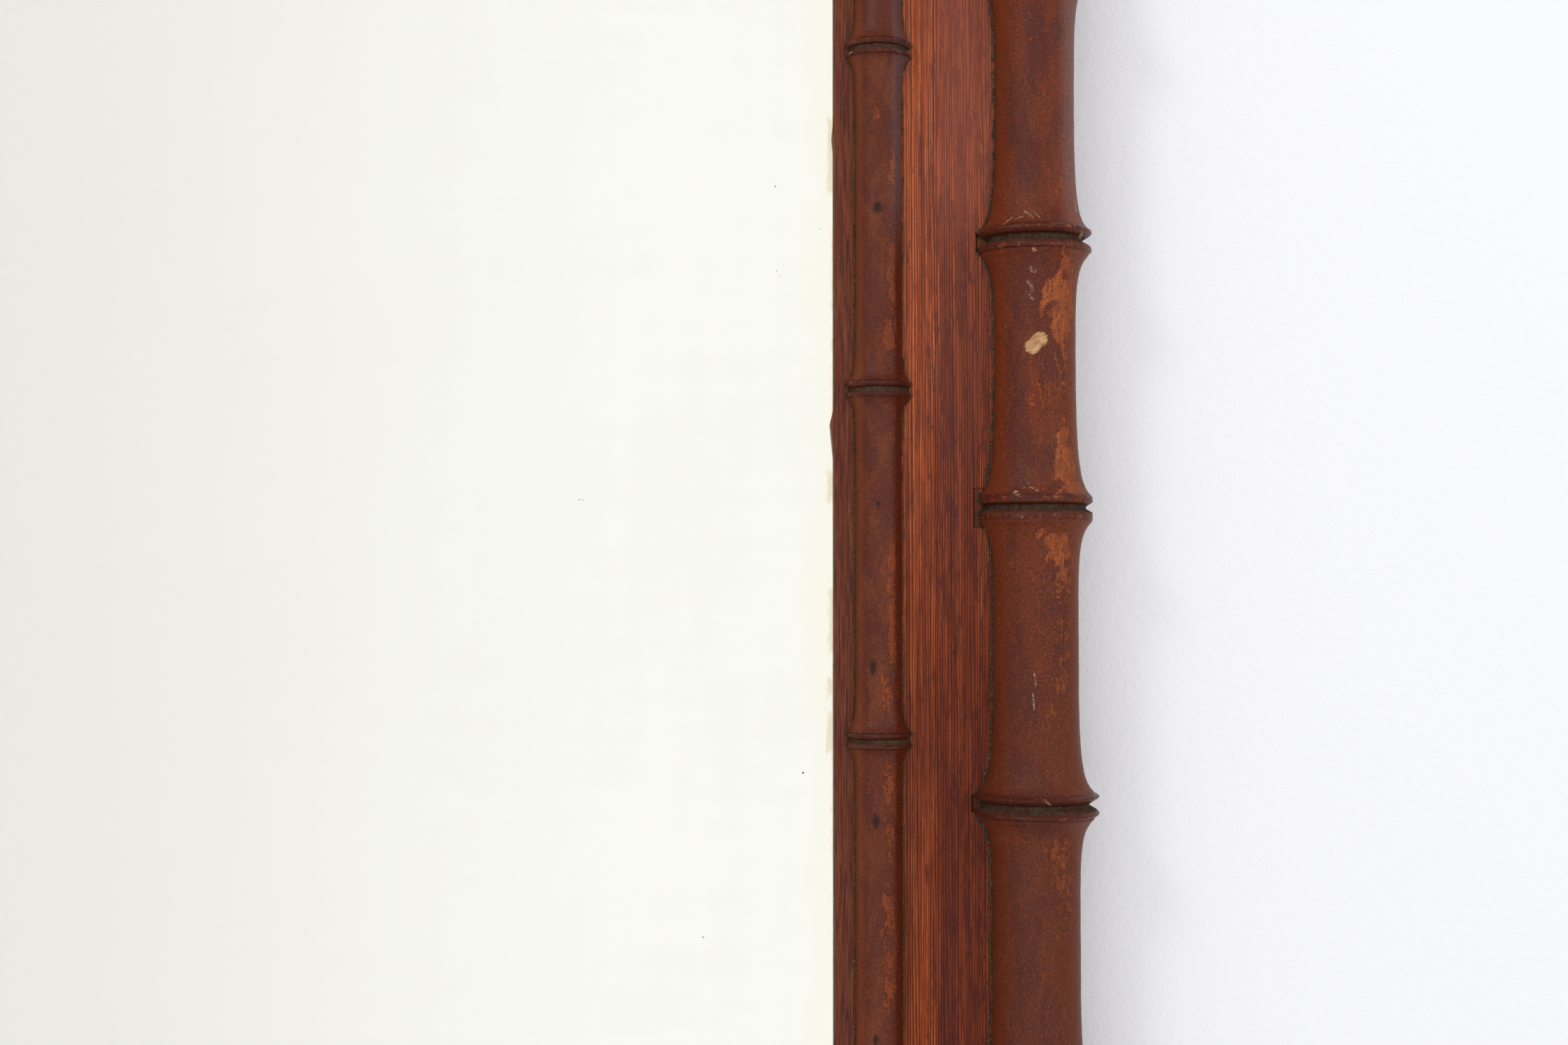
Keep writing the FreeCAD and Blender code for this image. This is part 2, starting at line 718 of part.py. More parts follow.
def bend_strap():
    """Make the strap that curls round the ring's bar at its lower end."""
    body = new_body("hanger_strap")
    section = new_sketch(body, "StrapSection", "YZ_Plane", "-strap_width / 2")
    draw_box(section, "0", "strap_thickness", "0", strap_length())
    pad(body, section, "strap_width")
    curl = new_sketch(body, "StrapCurl", "YZ_Plane", "-strap_width / 2")
    draw_circle(curl, curl_centre(), "0", curl_centre())
    pad(body, curl, "strap_width")
    bore = new_sketch(body, "StrapBore", "YZ_Plane", "-strap_width / 2")
    draw_circle(bore, curl_centre(), "0", "bar_radius + bar_play")
    pocket(body, bore, "strap_width", backwards=True)
    spots = [("0", rise) for rise in hanger_nail_places()]
    punch(body, "StrapHoles", spots, "(hanger_nail_side + 2 * nail_play)", "strap_thickness",
          backwards=False)
    hang(body)
    return body


def stamp_ring():
    """Make the ring, shaped like a D, its round bar in the curl of the strap."""
    body = new_body("hanger_ring")
    inner = "(ring_radius - ring_band)"
    lift = "-ring_thickness / 2"
    bow = new_sketch(body, "RingBow", "XZ_Plane", lift)
    draw_circle(bow, "0", "-ring_leg", "ring_radius")
    pad(body, bow, "ring_thickness")
    top = new_sketch(body, "RingTop", "XZ_Plane", lift)
    beyond = "(ring_radius + cutter_overrun)"
    draw_box(top, f"-{beyond}", beyond, "-ring_leg", beyond)
    pocket(body, top, "ring_thickness", backwards=True)
    legs = new_sketch(body, "RingLegs", "XZ_Plane", lift)
    draw_box(legs, "-ring_radius", "ring_radius", "-ring_leg", "0")
    pad(body, legs, "ring_thickness")
    hollow = new_sketch(body, "RingHollow", "XZ_Plane", lift)
    draw_circle(hollow, "0", "-ring_leg", inner)
    pocket(body, hollow, "ring_thickness", backwards=True)
    mouth = new_sketch(body, "RingMouth", "XZ_Plane", lift)
    draw_box(mouth, f"-{inner}", inner, "-ring_leg", "bar_radius + cutter_overrun")
    pocket(body, mouth, "ring_thickness", backwards=True)
    bar = new_sketch(body, "RingBar", "YZ_Plane", "-ring_radius")
    draw_circle(bar, "0", "0", "bar_radius")
    pad(body, bar, "2 * ring_radius")
    hang(body, curl_centre())
    return body


def hanger_nails():
    """Make the two nails of the hanger, heads on the strap."""
    head = ("hanger_nail_head_side", "hanger_nail_head_height")
    top = "strap_thickness + hanger_nail_head_height"
    shaft = ("hanger_nail_side", f"hanger_nail_bite + {top}")
    nails = [
        square_nail(f"HangerNail{index + 1}", "0", rise, top, head, shaft)
        for index, rise in enumerate(hanger_nail_places())
    ]
    pair = group("hanger_nails", nails)
    hang(pair)
    return pair


# The whole mirror

pieces = []
for side in SIDES:
    pieces.append(cut_board(side))
    pieces.append(turn_cane(side))
    pieces.append(turn_bead(side))
    pieces.append(glue_blocks(side))
    pieces.append(cane_nails(side))

glass_half_width = f"({HALF_SIGHT_WIDTH} + rebate_width - glass_play)"
glass_half_height = f"({HALF_SIGHT_HEIGHT} + rebate_width - glass_play)"
glass_front = f"(plank_thickness + {REBATE_DEPTH})"
pieces.append(flat_plate("mirror_glass", glass_half_width, glass_half_height, glass_front,
                         "glass_thickness"))
pieces.append(flat_plate("silvering", glass_half_width, glass_half_height,
                         f"({glass_front} - glass_thickness)", "silver_thickness"))
for index, middle in enumerate(plank_middles()):
    pieces.append(cut_plank(index, middle))
pieces.append(backboard_nails())
pieces.append(tenon_pegs())
pieces.append(bend_strap())
pieces.append(stamp_ring())
pieces.append(hanger_nails())

doc.recompute()
for thing in doc.Objects:
    if "Invalid" in thing.State or "Error" in thing.State:
        raise RuntimeError(f"{thing.Label} failed: {thing.State}")
for cut in cuts:
    if not cut.Shape.Volume < cut.BaseFeature.Shape.Volume:
        raise RuntimeError(f"{cut.Label} cuts nothing")
os.makedirs("parts", exist_ok=True)
for piece in pieces:
    if piece.Shape.isNull() or not piece.Shape.isValid() or not piece.Shape.Solids:
        raise RuntimeError(f"{piece.Label} has no sound shape")
for piece in pieces:
    piece.Shape.exportStep(f"parts/{piece.Label}.step")
    box = piece.Shape.BoundBox
    print(f"{piece.Label}: {len(piece.Shape.Solids)} solid(s), {piece.Shape.Volume:.0f} mm3, "
          f"{box.XLength:.1f} x {box.YLength:.1f} x {box.ZLength:.1f} mm")
print(len(pieces), "pieces")
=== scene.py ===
"""Looks of a wall mirror framed in stained pine, trimmed with turned wood that copies bamboo.

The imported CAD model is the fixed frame: X runs right, Z runs up and the glass faces -Y. Sizes
are written in millimetres and turned into metres where a mesh is made.
"""

import logging
import math
from dataclasses import dataclass
from enum import Enum
from typing import Optional, Sequence, Union

import bmesh
import bpy
import numpy as np
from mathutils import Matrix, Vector

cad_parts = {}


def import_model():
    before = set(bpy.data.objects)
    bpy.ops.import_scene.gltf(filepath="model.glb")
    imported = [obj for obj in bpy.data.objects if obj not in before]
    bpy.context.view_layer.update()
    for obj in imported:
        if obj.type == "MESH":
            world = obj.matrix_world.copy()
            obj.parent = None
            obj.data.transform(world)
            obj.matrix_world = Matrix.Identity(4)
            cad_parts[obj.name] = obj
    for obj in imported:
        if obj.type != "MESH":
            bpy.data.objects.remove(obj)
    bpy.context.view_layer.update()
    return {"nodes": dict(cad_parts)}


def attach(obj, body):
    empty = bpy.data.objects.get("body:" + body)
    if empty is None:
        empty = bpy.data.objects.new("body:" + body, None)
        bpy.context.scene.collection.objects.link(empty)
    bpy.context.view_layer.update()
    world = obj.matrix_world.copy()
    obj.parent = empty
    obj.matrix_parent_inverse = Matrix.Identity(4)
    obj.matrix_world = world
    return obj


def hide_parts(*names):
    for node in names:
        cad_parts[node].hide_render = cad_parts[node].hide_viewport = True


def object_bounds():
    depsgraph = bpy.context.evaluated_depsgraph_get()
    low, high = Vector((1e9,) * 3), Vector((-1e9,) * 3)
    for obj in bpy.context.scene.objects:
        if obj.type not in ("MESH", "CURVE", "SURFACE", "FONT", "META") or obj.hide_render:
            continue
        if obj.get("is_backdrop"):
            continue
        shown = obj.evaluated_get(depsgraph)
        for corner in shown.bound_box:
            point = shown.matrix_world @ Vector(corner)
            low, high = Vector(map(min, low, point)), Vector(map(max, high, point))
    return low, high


MM = 0.001
RIGHTWARDS, BACKWARDS, UPWARDS = (1.0, 0.0, 0.0), (0.0, 1.0, 0.0), (0.0, 0.0, 1.0)
# A mix node has inputs for each kind of value: these are the numbers of those for colours
MIX_AMOUNT, MIX_UNDER, MIX_OVER, MIXED_COLOUR = 0, 6, 7, 2
Colour = tuple[float, float, float]
Place = tuple[float, float, float]
Table = Sequence[tuple[float, float]]


def stain(red: int, green: int, blue: int) -> Colour:
    """Turn a screen colour of 0 to 255 into the linear colour that a shader takes."""
    parts = [value / 255 for value in (red, green, blue)]
    return tuple(p / 12.92 if p < 0.04045 else ((p + 0.055) / 1.055) ** 2.4 for p in parts)


def ripple(a: np.ndarray, b: np.ndarray, seed: int, size: float, count: int = 7) -> np.ndarray:
    """Smooth seeded unevenness over two coordinates.

    Args:
        a: First coordinate, in millimetres.
        b: Second coordinate, in millimetres.
        seed: Seed of the unevenness.
        size: Typical size of one swell, in millimetres.
        count: How many waves are laid over each other.

    Returns:
        Values of about -1 to 1.
    """
    dice = np.random.default_rng(seed)
    total = np.zeros(np.broadcast(a, b).shape)
    for _ in range(count):
        angle, phase = dice.uniform(0, math.tau, 2)
        pitch = math.tau / (size * dice.uniform(0.6, 1.7))
        total += np.sin((a * math.cos(angle) + b * math.sin(angle)) * pitch + phase)
    return total / math.sqrt(count)


def smooth_table(x: np.ndarray, table: Table) -> np.ndarray:
    """Read a table of (place, value) pairs as one smooth curve.

    Args:
        x: Places to read, held inside the table's own range.
        table: Pairs with rising places.

    Returns:
        The values at those places.
    """
    places, values = (np.array(column, float) for column in zip(*table))
    slopes = np.gradient(values, places)
    x = np.clip(x, places[0], places[-1])
    index = np.clip(np.searchsorted(places, x) - 1, 0, len(places) - 2)
    width = places[index + 1] - places[index]
    t = (x - places[index]) / width
    low, high = values[index], values[index + 1]
    start, end = slopes[index] * width, slopes[index + 1] * width
    return (
        (2 * t**3 - 3 * t**2 + 1) * low + (t**3 - 2 * t**2 + t) * start
        + (3 * t**2 - 2 * t**3) * high + (t**3 - t**2) * end
    )


class Side(Enum):
    """One side of the frame: its name, its outward direction and the run of its board."""

    RIGHT = ("right", (1, 0, 0), (0, 0, 1))
    TOP = ("top", (0, 0, 1), (-1, 0, 0))
    LEFT = ("left", (-1, 0, 0), (0, 0, -1))
    BOTTOM = ("bottom", (0, 0, -1), (1, 0, 0))

    @property
    def label(self) -> str:
        """Name of the side."""
        return self.value[0]

    @property
    def out(self) -> np.ndarray:
        """Direction away from the glass."""
        return np.array(self.value[1], float)

    @property
    def run(self) -> np.ndarray:
        """Direction along the board."""
        return np.array(self.value[2], float)

    @property
    def upright(self) -> bool:
        """Whether the side is a stile."""
        return self in (Side.RIGHT, Side.LEFT)

    @property
    def sign(self) -> float:
        """Turns a place along world X or Z into one along the run."""
        return float(self.run.sum())

    @property
    def seed(self) -> int:
        """Seed of the side's own wear."""
        return 11 + 7 * list(Side).index(self)


@dataclass(frozen=True)
class FrameSizes:
    """Sizes that all sides share, as in the CAD model."""

    half_width: float = 277.0
    half_height: float = 330.0
    board_width: float = 77.0
    board_thickness: float = 25.0
    back_gap: float = 6.0
    lip_thickness: float = 10.0
    rebate_width: float = 12.0
    bead_inset: float = 17.0

    def reach(self, side: Side) -> float:
        """Distance from the glass's middle to the sight edge on one side."""
        return (self.half_width if side.upright else self.half_height) - self.board_width

    def half_sight(self, side: Side) -> float:
        """Half the length of the sight edge on one side."""
        return (self.half_height if side.upright else self.half_width) - self.board_width

    def half_outer(self, side: Side) -> float:
        """Half the frame's outer length along one side."""
        return self.half_height if side.upright else self.half_width

    def place(self, side: Side, out: np.ndarray, depth: np.ndarray, along: np.ndarray
              ) -> np.ndarray:
        """Turn places on one side into points of the CAD frame.

        Args:
            side: The side.
            out: Distance outwards from the sight edge.
            depth: Distance back from the board's back, negative towards the front.
            along: Place along the run.

        Returns:
            Points in metres, one row each in the last axis.
        """
        points = ((out + self.reach(side))[..., None] * side.out
                  + (depth - self.back_gap)[..., None] * np.array(BACKWARDS)
                  + along[..., None] * side.run)
        return points * MM


SIZES = FrameSizes()


@dataclass(frozen=True)
class Patch:
    """A soft-edged oval on a turned piece: places in millimetres, height along the piece."""

    place: float
    aside: float
    half_height: float
    half_width: float
    strength: float = 1.0
    fray: float = 0.35

    def cover(self, places: np.ndarray, asides: np.ndarray, ragged: np.ndarray) -> np.ndarray:
        """How much of the patch lies on each point.

        Args:
            places: Places of the points along the piece.
            asides: Places of the points across it.
            ragged: Unevenness that frays the patch's outline.

        Returns:
            Values of 0 to the patch's strength.
        """
        reach = np.cbrt(np.abs((places - self.place) / self.half_height) ** 3
                        + np.abs((asides - self.aside) / self.half_width) ** 3)
        return self.strength * np.clip(1.5 - reach + self.fray * ragged, 0, 1)


# Meshes


class MeshMaker:
    """Makes mesh objects from grids of points."""

    @staticmethod
    def loft(name: str, rings: np.ndarray, sharp: float = 35.0) -> bpy.types.Object:
        """Join closed rings of points into one smooth skin with filled ends.

        Args:
            name: Name of the piece.
            rings: Points in metres, as ring, point and coordinate.
            sharp: Angle in degrees over which an edge stays crisp.

        Returns:
            The linked object.
        """
        count, size = rings.shape[:2]
        row, column = np.meshgrid(np.arange(count - 1), np.arange(size), indexing="ij")
        following = (column + 1) % size
        quads = np.stack([
            row * size + column, row * size + following,
            (row + 1) * size + following, (row + 1) * size + column,
        ], axis=-1).reshape(-1, 4)
        ends = [tuple(range(size)), tuple(range((count - 1) * size, count * size))]
        mesh = bpy.data.meshes.new(name)
        mesh.from_pydata(rings.reshape(-1, 3).tolist(), [], [*map(tuple, quads.tolist()), *ends])
        tidy = bmesh.new()
        tidy.from_mesh(mesh)
        bmesh.ops.recalc_face_normals(tidy, faces=tidy.faces)
        tidy.to_mesh(mesh)
        tidy.free()
        mesh.polygons.foreach_set("use_smooth", [True] * len(mesh.polygons))
        mesh.set_sharp_from_angle(angle=math.radians(sharp))
        piece = bpy.data.objects.new(name, mesh)
        bpy.context.scene.collection.objects.link(piece)
        return piece

    @staticmethod
    def paint(piece: bpy.types.Object, **masks: np.ndarray) -> None:
        """Store masks on the piece's points.

        Args:
            piece: The piece.
            **masks: One value for each point, in the points' order, by the mask's name.
        """
        for name, values in masks.items():
            mask = piece.data.attributes.new(name, "FLOAT", "POINT")
            mask.data.foreach_set("value", np.clip(values, 0, 1).astype(np.float32).ravel())

    @staticmethod
    def dress(piece: bpy.types.Object, material: bpy.types.Material, node: str, slot: str) -> None:
        """Give a piece its material and let it stand for a node of the body named frame.

        Args:
            piece: The piece.
            material: Its material.
            node: The CAD node that it replaces.
            slot: Not used.
        """
        piece.data.materials.append(material)
        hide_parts(node)
        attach(piece, "frame")


# Finishes


@dataclass(frozen=True)
class Reading:
    """A number, place or colour that varies over a surface. Sums on numbers give new ones."""

    finish: "Finish"
    socket: bpy.types.NodeSocket

    def __add__(self, other: "Input") -> "Reading":
        """This number plus another."""
        return self.finish.math("ADD", self, other)

    def __radd__(self, other: float) -> "Reading":
        """A plain number plus this one."""
        return self.finish.math("ADD", other, self)

    def __sub__(self, other: "Input") -> "Reading":
        """This number less another."""
        return self.finish.math("SUBTRACT", self, other)

    def __rsub__(self, other: float) -> "Reading":
        """A plain number less this one."""
        return self.finish.math("SUBTRACT", other, self)

    def __mul__(self, other: "Input") -> "Reading":
        """This number times another."""
        return self.finish.math("MULTIPLY", self, other)

    def swing(self, size: float) -> "Reading":
        """Unevenness of 0 to 1 laid round zero, with the given size in all."""
        return (self - 0.5) * size


Input = Union[Reading, float, Sequence[float]]


class Finish:
    """Builds one procedural material, node by node."""

    def __init__(self, name: str) -> None:
        """Start an empty material.

        Args:
            name: Name of the material.
        """
        self.material = bpy.data.materials.new(name)
        self.material.use_nodes = True
        self.tree = self.material.node_tree
        self.tree.nodes.clear()

    def read(self, kind: str, output: Union[str, int] = 0,
             inputs: Optional[dict[Union[str, int], Input]] = None, **settings: object) -> Reading:
        """Add a node, feed it and read one of its outputs.

        Args:
            kind: Blender's name of the node's type.
            output: Name or number of the output to read.
            inputs: Readings and plain values by the name or number of their input.
            **settings: Properties of the node.

        Returns:
            The output.
        """
        node = self.tree.nodes.new(kind)
        for name, value in settings.items():
            setattr(node, name, value)
        for key, value in (inputs or {}).items():
            self.feed(node.inputs[key], value)
        return Reading(self, node.outputs[output])

    def feed(self, target: bpy.types.NodeSocket, source: Input) -> None:
        """Link a reading to an input, or set the input's value.

        Args:
            target: The input.
            source: A reading, a number, a place or a colour.
        """
        if isinstance(source, Reading):
            self.tree.links.new(source.socket, target)
        elif isinstance(source, (int, float)) or target.type == "VECTOR":
            target.default_value = source
        else:
            target.default_value = (*source, 1.0)[:4]

    def point(self) -> Reading:
        """Place of the surface in the CAD frame, in millimetres."""
        return self.stretch(self.read("ShaderNodeTexCoord", "Object"), (1 / MM, 1 / MM, 1 / MM))

    def places(self, operation: str, place: Input, other: Input, output: Union[str, int] = 0
               ) -> Reading:
        """Reckon with two places, by Blender's name of the operation."""
        return self.read("ShaderNodeVectorMath", output, {0: place, 1: other}, operation=operation)

    def stretch(self, place: Input, factors: Sequence[float]) -> Reading:
        """Multiply a place by one factor for each coordinate."""
        return self.places("MULTIPLY", place, factors)

    def onto(self, place: Input, direction: Sequence[float]) -> Reading:
        """Distance of a place along a direction."""
        return self.places("DOT_PRODUCT", place, direction, "Value")

    def gap(self, place: Input, other: Input) -> Reading:
        """Distance between two places."""
        return self.places("DISTANCE", place, other, "Value")

    def join(self, x: Input, y: Input, z: Input) -> Reading:
        """Make a place of three numbers."""
        return self.read("ShaderNodeCombineXYZ", 0, {0: x, 1: y, 2: z})

    def math(self, operation: str, *values: Input, clamp: bool = False) -> Reading:
        """Reckon with numbers, by Blender's name of the operation. A clamp keeps it in 0 to 1."""
        return self.read("ShaderNodeMath", 0, dict(enumerate(values)), operation=operation,
                         use_clamp=clamp)

    def noise(self, place: Input, size: float, detail: float = 2.0, rough: float = 0.5,
              warp: float = 0.0) -> Reading:
        """Cloudy unevenness.

        Args:
            place: Place to read.
            size: Size of one cloud, in the place's own unit.
            detail: How many finer layers are added.
            rough: Weight of the finer layers.
            warp: Distortion.

        Returns:
            Values of about 0 to 1, mostly near 0.5.
        """
        return self.read("ShaderNodeTexNoise", "Fac", {
            "Vector": place, "Scale": 1 / size, "Detail": detail, "Roughness": rough,
            "Distortion": warp})

    def step(self, value: Input, low: Input, high: Input, top: Input = 1.0) -> Reading:
        """Soft step from 0 to a top value.

        Args:
            value: Number to read.
            low: Where the step starts.
            high: Where it ends, which may lie under its start.
            top: Height of the step.

        Returns:
            The stepped value.
        """
        return self.read("ShaderNodeMapRange", 0, {
            "Value": value, "From Min": low, "From Max": high, "To Max": top},
            interpolation_type="SMOOTHSTEP", clamp=True)

    def layers(self, base: Input, *coats: tuple[Input, Input]) -> Reading:
        """Lay coats of colour over one another.

        Args:
            base: The lowest colour.
            *coats: How much of each coat shows, and its colour, from the lowest up.

        Returns:
            The colour that shows.
        """
        for amount, colour in coats:
            base = self.read("ShaderNodeMix", MIXED_COLOUR, {
                MIX_AMOUNT: amount, MIX_UNDER: base, MIX_OVER: colour}, data_type="RGBA")
        return base

    def mask(self, name: str) -> Reading:
        """Mask that was stored on the piece's points."""
        return self.read("ShaderNodeAttribute", "Fac", attribute_name=name)

    def relief(self, height: Input, depth: float, under: Optional[Reading] = None) -> Reading:
        """Fine relief.

        Args:
            height: Height of 0 to 1.
            depth: Height in millimetres of a step from 0 to 1.
            under: Relief that this one lies on.

        Returns:
            The normal.
        """
        inputs = {"Strength": 1.0, "Distance": depth * MM, "Height": height}
        if under is not None:
            inputs["Normal"] = under
        return self.read("ShaderNodeBump", 0, inputs)

    def close(self, shader: Reading) -> bpy.types.Material:
        """End the material with its shader."""
        self.feed(self.tree.nodes.new("ShaderNodeOutputMaterial").inputs["Surface"], shader)
        return self.material

    def surface(self, **inputs: Input) -> bpy.types.Material:
        """End the material with a surface, from inputs named with underscores for spaces."""
        named = {name.replace("_", " "): value for name, value in inputs.items()}
        return self.close(self.read("ShaderNodeBsdfPrincipled", 0, named))

    def local(self, side: Side, shift: float) -> tuple[Reading, Reading, Reading]:
        """Place on one side of the frame.

        Args:
            side: The side.
            shift: Added to the place along, so that no two sides have the same grain.

        Returns:
            Distance out from the sight edge, depth and place along, in millimetres.
        """
        where = self.point()
        out = self.onto(where, side.out) - SIZES.reach(side)
        along = self.onto(where, side.run * side.sign) + shift
        return out, self.onto(where, BACKWARDS), along


@dataclass(frozen=True)
class StainedPine:
    """Straight-grained pine of the flat boards, stained and darkened with age, with painted shade
    towards the bottom and a painted sheen and reflection near the top.
    """

    bright: Colour = stain(198, 98, 48)
    pale: Colour = stain(212, 122, 70)
    fresh: Colour = stain(160, 74, 38)
    aged: Colour = stain(124, 54, 29)
    late: Colour = stain(54, 12, 6)
    purple: Colour = stain(78, 32, 28)
    lip: Colour = stain(112, 58, 38)
    olive: Colour = stain(132, 96, 66)
    grime: Colour = stain(58, 43, 29)
    dust: Colour = stain(118, 94, 68)
    # Faint pale veil towards the top: a painted reflection.
    painted_reflection: Colour = stain(205, 195, 195)
    # Painted sheen on the upper outer part of the boards.
    painted_sheen: Colour = stain(200, 116, 92)
    bare: Colour = stain(158, 116, 76)
    bare_line: Colour = stain(96, 62, 38)
    ring: float = 1.05
    specular: float = 0.12
    shift: float = 0.0

    def rings(self, f: Finish, out: Reading, depth: Reading, along: Reading
              ) -> tuple[Reading, Reading]:
        """Dark lines of the growth rings, uneven in place, width and strength.

        Args:
            f: The material being built.
            out: Distance out from the sight edge.
            depth: Distance behind the frame's origin.
            along: Place along the board.

        Returns:
            The lines' mask, and a number for each ring.
        """
        slow = f.join(out, depth, along * 0.03)
        across = out * (1 / self.ring) + f.noise(slow, 34.0, 2.0) * 4.5
        across = across + f.noise(slow, 3.0, 2.0) * 2.2 + depth * 0.12
        phase = f.math("FRACT", across)
        dice = f.read("ShaderNodeTexWhiteNoise", "Value", {
            "Vector": f.join(f.math("FLOOR", across), 3.7, self.shift)}, noise_dimensions="3D")
        line = f.step(phase, dice * 0.5 + 0.08, 0.84) * (1.0 - f.step(phase, 0.88, 1.0))
        tone = f.math("FRACT", dice * 7.3)
        return line * (tone * 0.45 + 0.62), tone

    def build(self, name: str, side: Side) -> bpy.types.Material:
        """Make the material for one board.

        Args:
            name: Name of the material.
            side: The board's side.

        Returns:
            The material.
        """
        f = Finish(name)
        out, depth, along = f.local(side, self.shift)
        level = f.onto(f.point(), UPWARDS)
        line, tone = self.rings(f, out, depth, along)
        streak = f.join(out, depth, along * 0.025)
        ragged = f.join(out, depth, along * 0.16)
        fibre = f.noise(streak, 0.45, 4.0, 0.65)
        band = f.noise(streak, 3.2, 4.0, 0.6)
        fleck = f.noise(ragged, 0.8, 4.0, 0.65)
        worn_off = f.noise(f.join(out, depth, along * 0.12), 2.6, 6.0, 0.7)
        drag = f.noise(f.join(out, depth, along * 0.06), 0.8, 6.0, 0.72)
        grains = f.noise(f.point(), 0.6, 3.0, 0.6)
        crumbs = f.noise(f.point(), 0.5, 2.0)

        sunny = f.step(out, 46.0, 31.0, 0.58) + f.step(out, 48.0, 60.0, 0.22)
        sunny = sunny + band.swing(1.1) + worn_off.swing(1.4)
        sunny = f.math("ADD", sunny, tone.swing(0.5), clamp=True)
        blot = f.noise(ragged, 2.3, 8.0, 0.76, 0.5) - f.step(out, 43.0, 30.0, 0.10)
        blot = blot + fibre.swing(0.30) + line * 0.04
        face = f.layers(
            self.aged,
            (f.step(band, 0.40, 0.62), self.fresh),
            (f.step(sunny, 0.20, 0.90), self.bright),
            (f.step(fibre, 0.44, 0.66, 0.6), self.aged),
            (f.step(fibre, 0.44, 0.32, 0.7) * sunny, self.pale),
            (line * 0.95, self.late),
            (f.step(blot, 0.50, 0.56, 0.66), self.purple),
            (f.step(fleck, 0.58, 0.68, 0.6), self.purple),
            # Painted shade: darker towards the bottom, as light falls from above.
            (f.step(level, 95.0, -90.0, 0.34), self.late),
            # Painted reflection: a faint pale veil growing towards the top.
            (f.step(level, -60.0, 120.0, 0.02), self.painted_reflection),
            # Painted sheen near the top, towards the cane.
            (f.step(level, 105.0, 150.0, 0.15) * f.step(out, 33.0, 44.0), self.painted_sheen),
        )
        strip = f.layers(
            self.lip,
            (f.step(fibre, 0.44, 0.60), self.purple),
            (f.step(drag, 0.51, 0.66, 0.42), self.olive),
            (f.step(blot + f.step(out, 3.0, 8.0, 0.08), 0.46, 0.62, 0.5), self.grime),
        )
        back = f.layers(
            self.bare,
            (line * 0.6, self.bare_line),
            (f.step(worn_off, 0.46, 0.66, 0.5), self.aged),
        )
        dirt = f.math("MULTIPLY", f.mask("grime"), f.step(fleck, 0.25, 0.52, 1.3), clamp=True)
        colour = f.layers(
            face,
            (f.step(out, 9.6, 8.4, 0.92), strip),
            (f.step(depth + fleck.swing(5.0), -8.6, -7.0), back),
            (dirt, f.layers(self.grime, (f.step(grains, 0.52, 0.62, 0.7), self.dust))),
            (f.step(crumbs, 0.735, 0.76, 0.7), self.dust),
        )
        normal = f.relief(fibre * 0.4 - line * 0.5, 0.12)
        normal = f.relief(grains + dirt * grains, 0.05, normal)
        return f.surface(Base_Color=colour, Roughness=0.40 + band * 0.2, Normal=normal,
                         Specular_IOR_Level=self.specular)


@dataclass(frozen=True)
class Stroke:
    """A thin scratch on a turned piece, between two (aside, height) places in millimetres."""

    start: tuple[float, float]
    end: tuple[float, float]
    width: float = 0.3
    strength: float = 0.75
    crisp: float = 0.3

    def cover(self, f: Finish, spot: Reading) -> Reading:
        """How much of the scratch lies on the surface.

        Args:
            f: The material being built.
            spot: Place of the surface as (aside, 0, height).

        Returns:
            The scratch's mask.
        """
        run = (self.end[0] - self.start[0], 0.0, self.end[1] - self.start[1])
        along = f.places("SUBTRACT", spot, (self.start[0], 0.0, self.start[1]))
        share = f.math("DIVIDE", f.onto(along, run), run[0] ** 2 + run[2] ** 2, clamp=True)
        nearest = f.read("ShaderNodeVectorMath", 0, {0: run, "Scale": share}, operation="SCALE")
        return f.step(f.gap(along, nearest), self.width, self.width * self.crisp, self.strength)


@dataclass(frozen=True)
class Figure:
    """Places and uneven patterns on one turned piece, which its finish is made from."""

    aside: Reading
    height: Reading
    level: Reading
    grain: Reading
    lathe: Reading
    cloud: Reading
    redness: Reading
    patchy: Reading
    smear: Reading
    crack: Reading
    fine: Reading
    soot: Reading
    pepper: Reading
    rasp: Reading


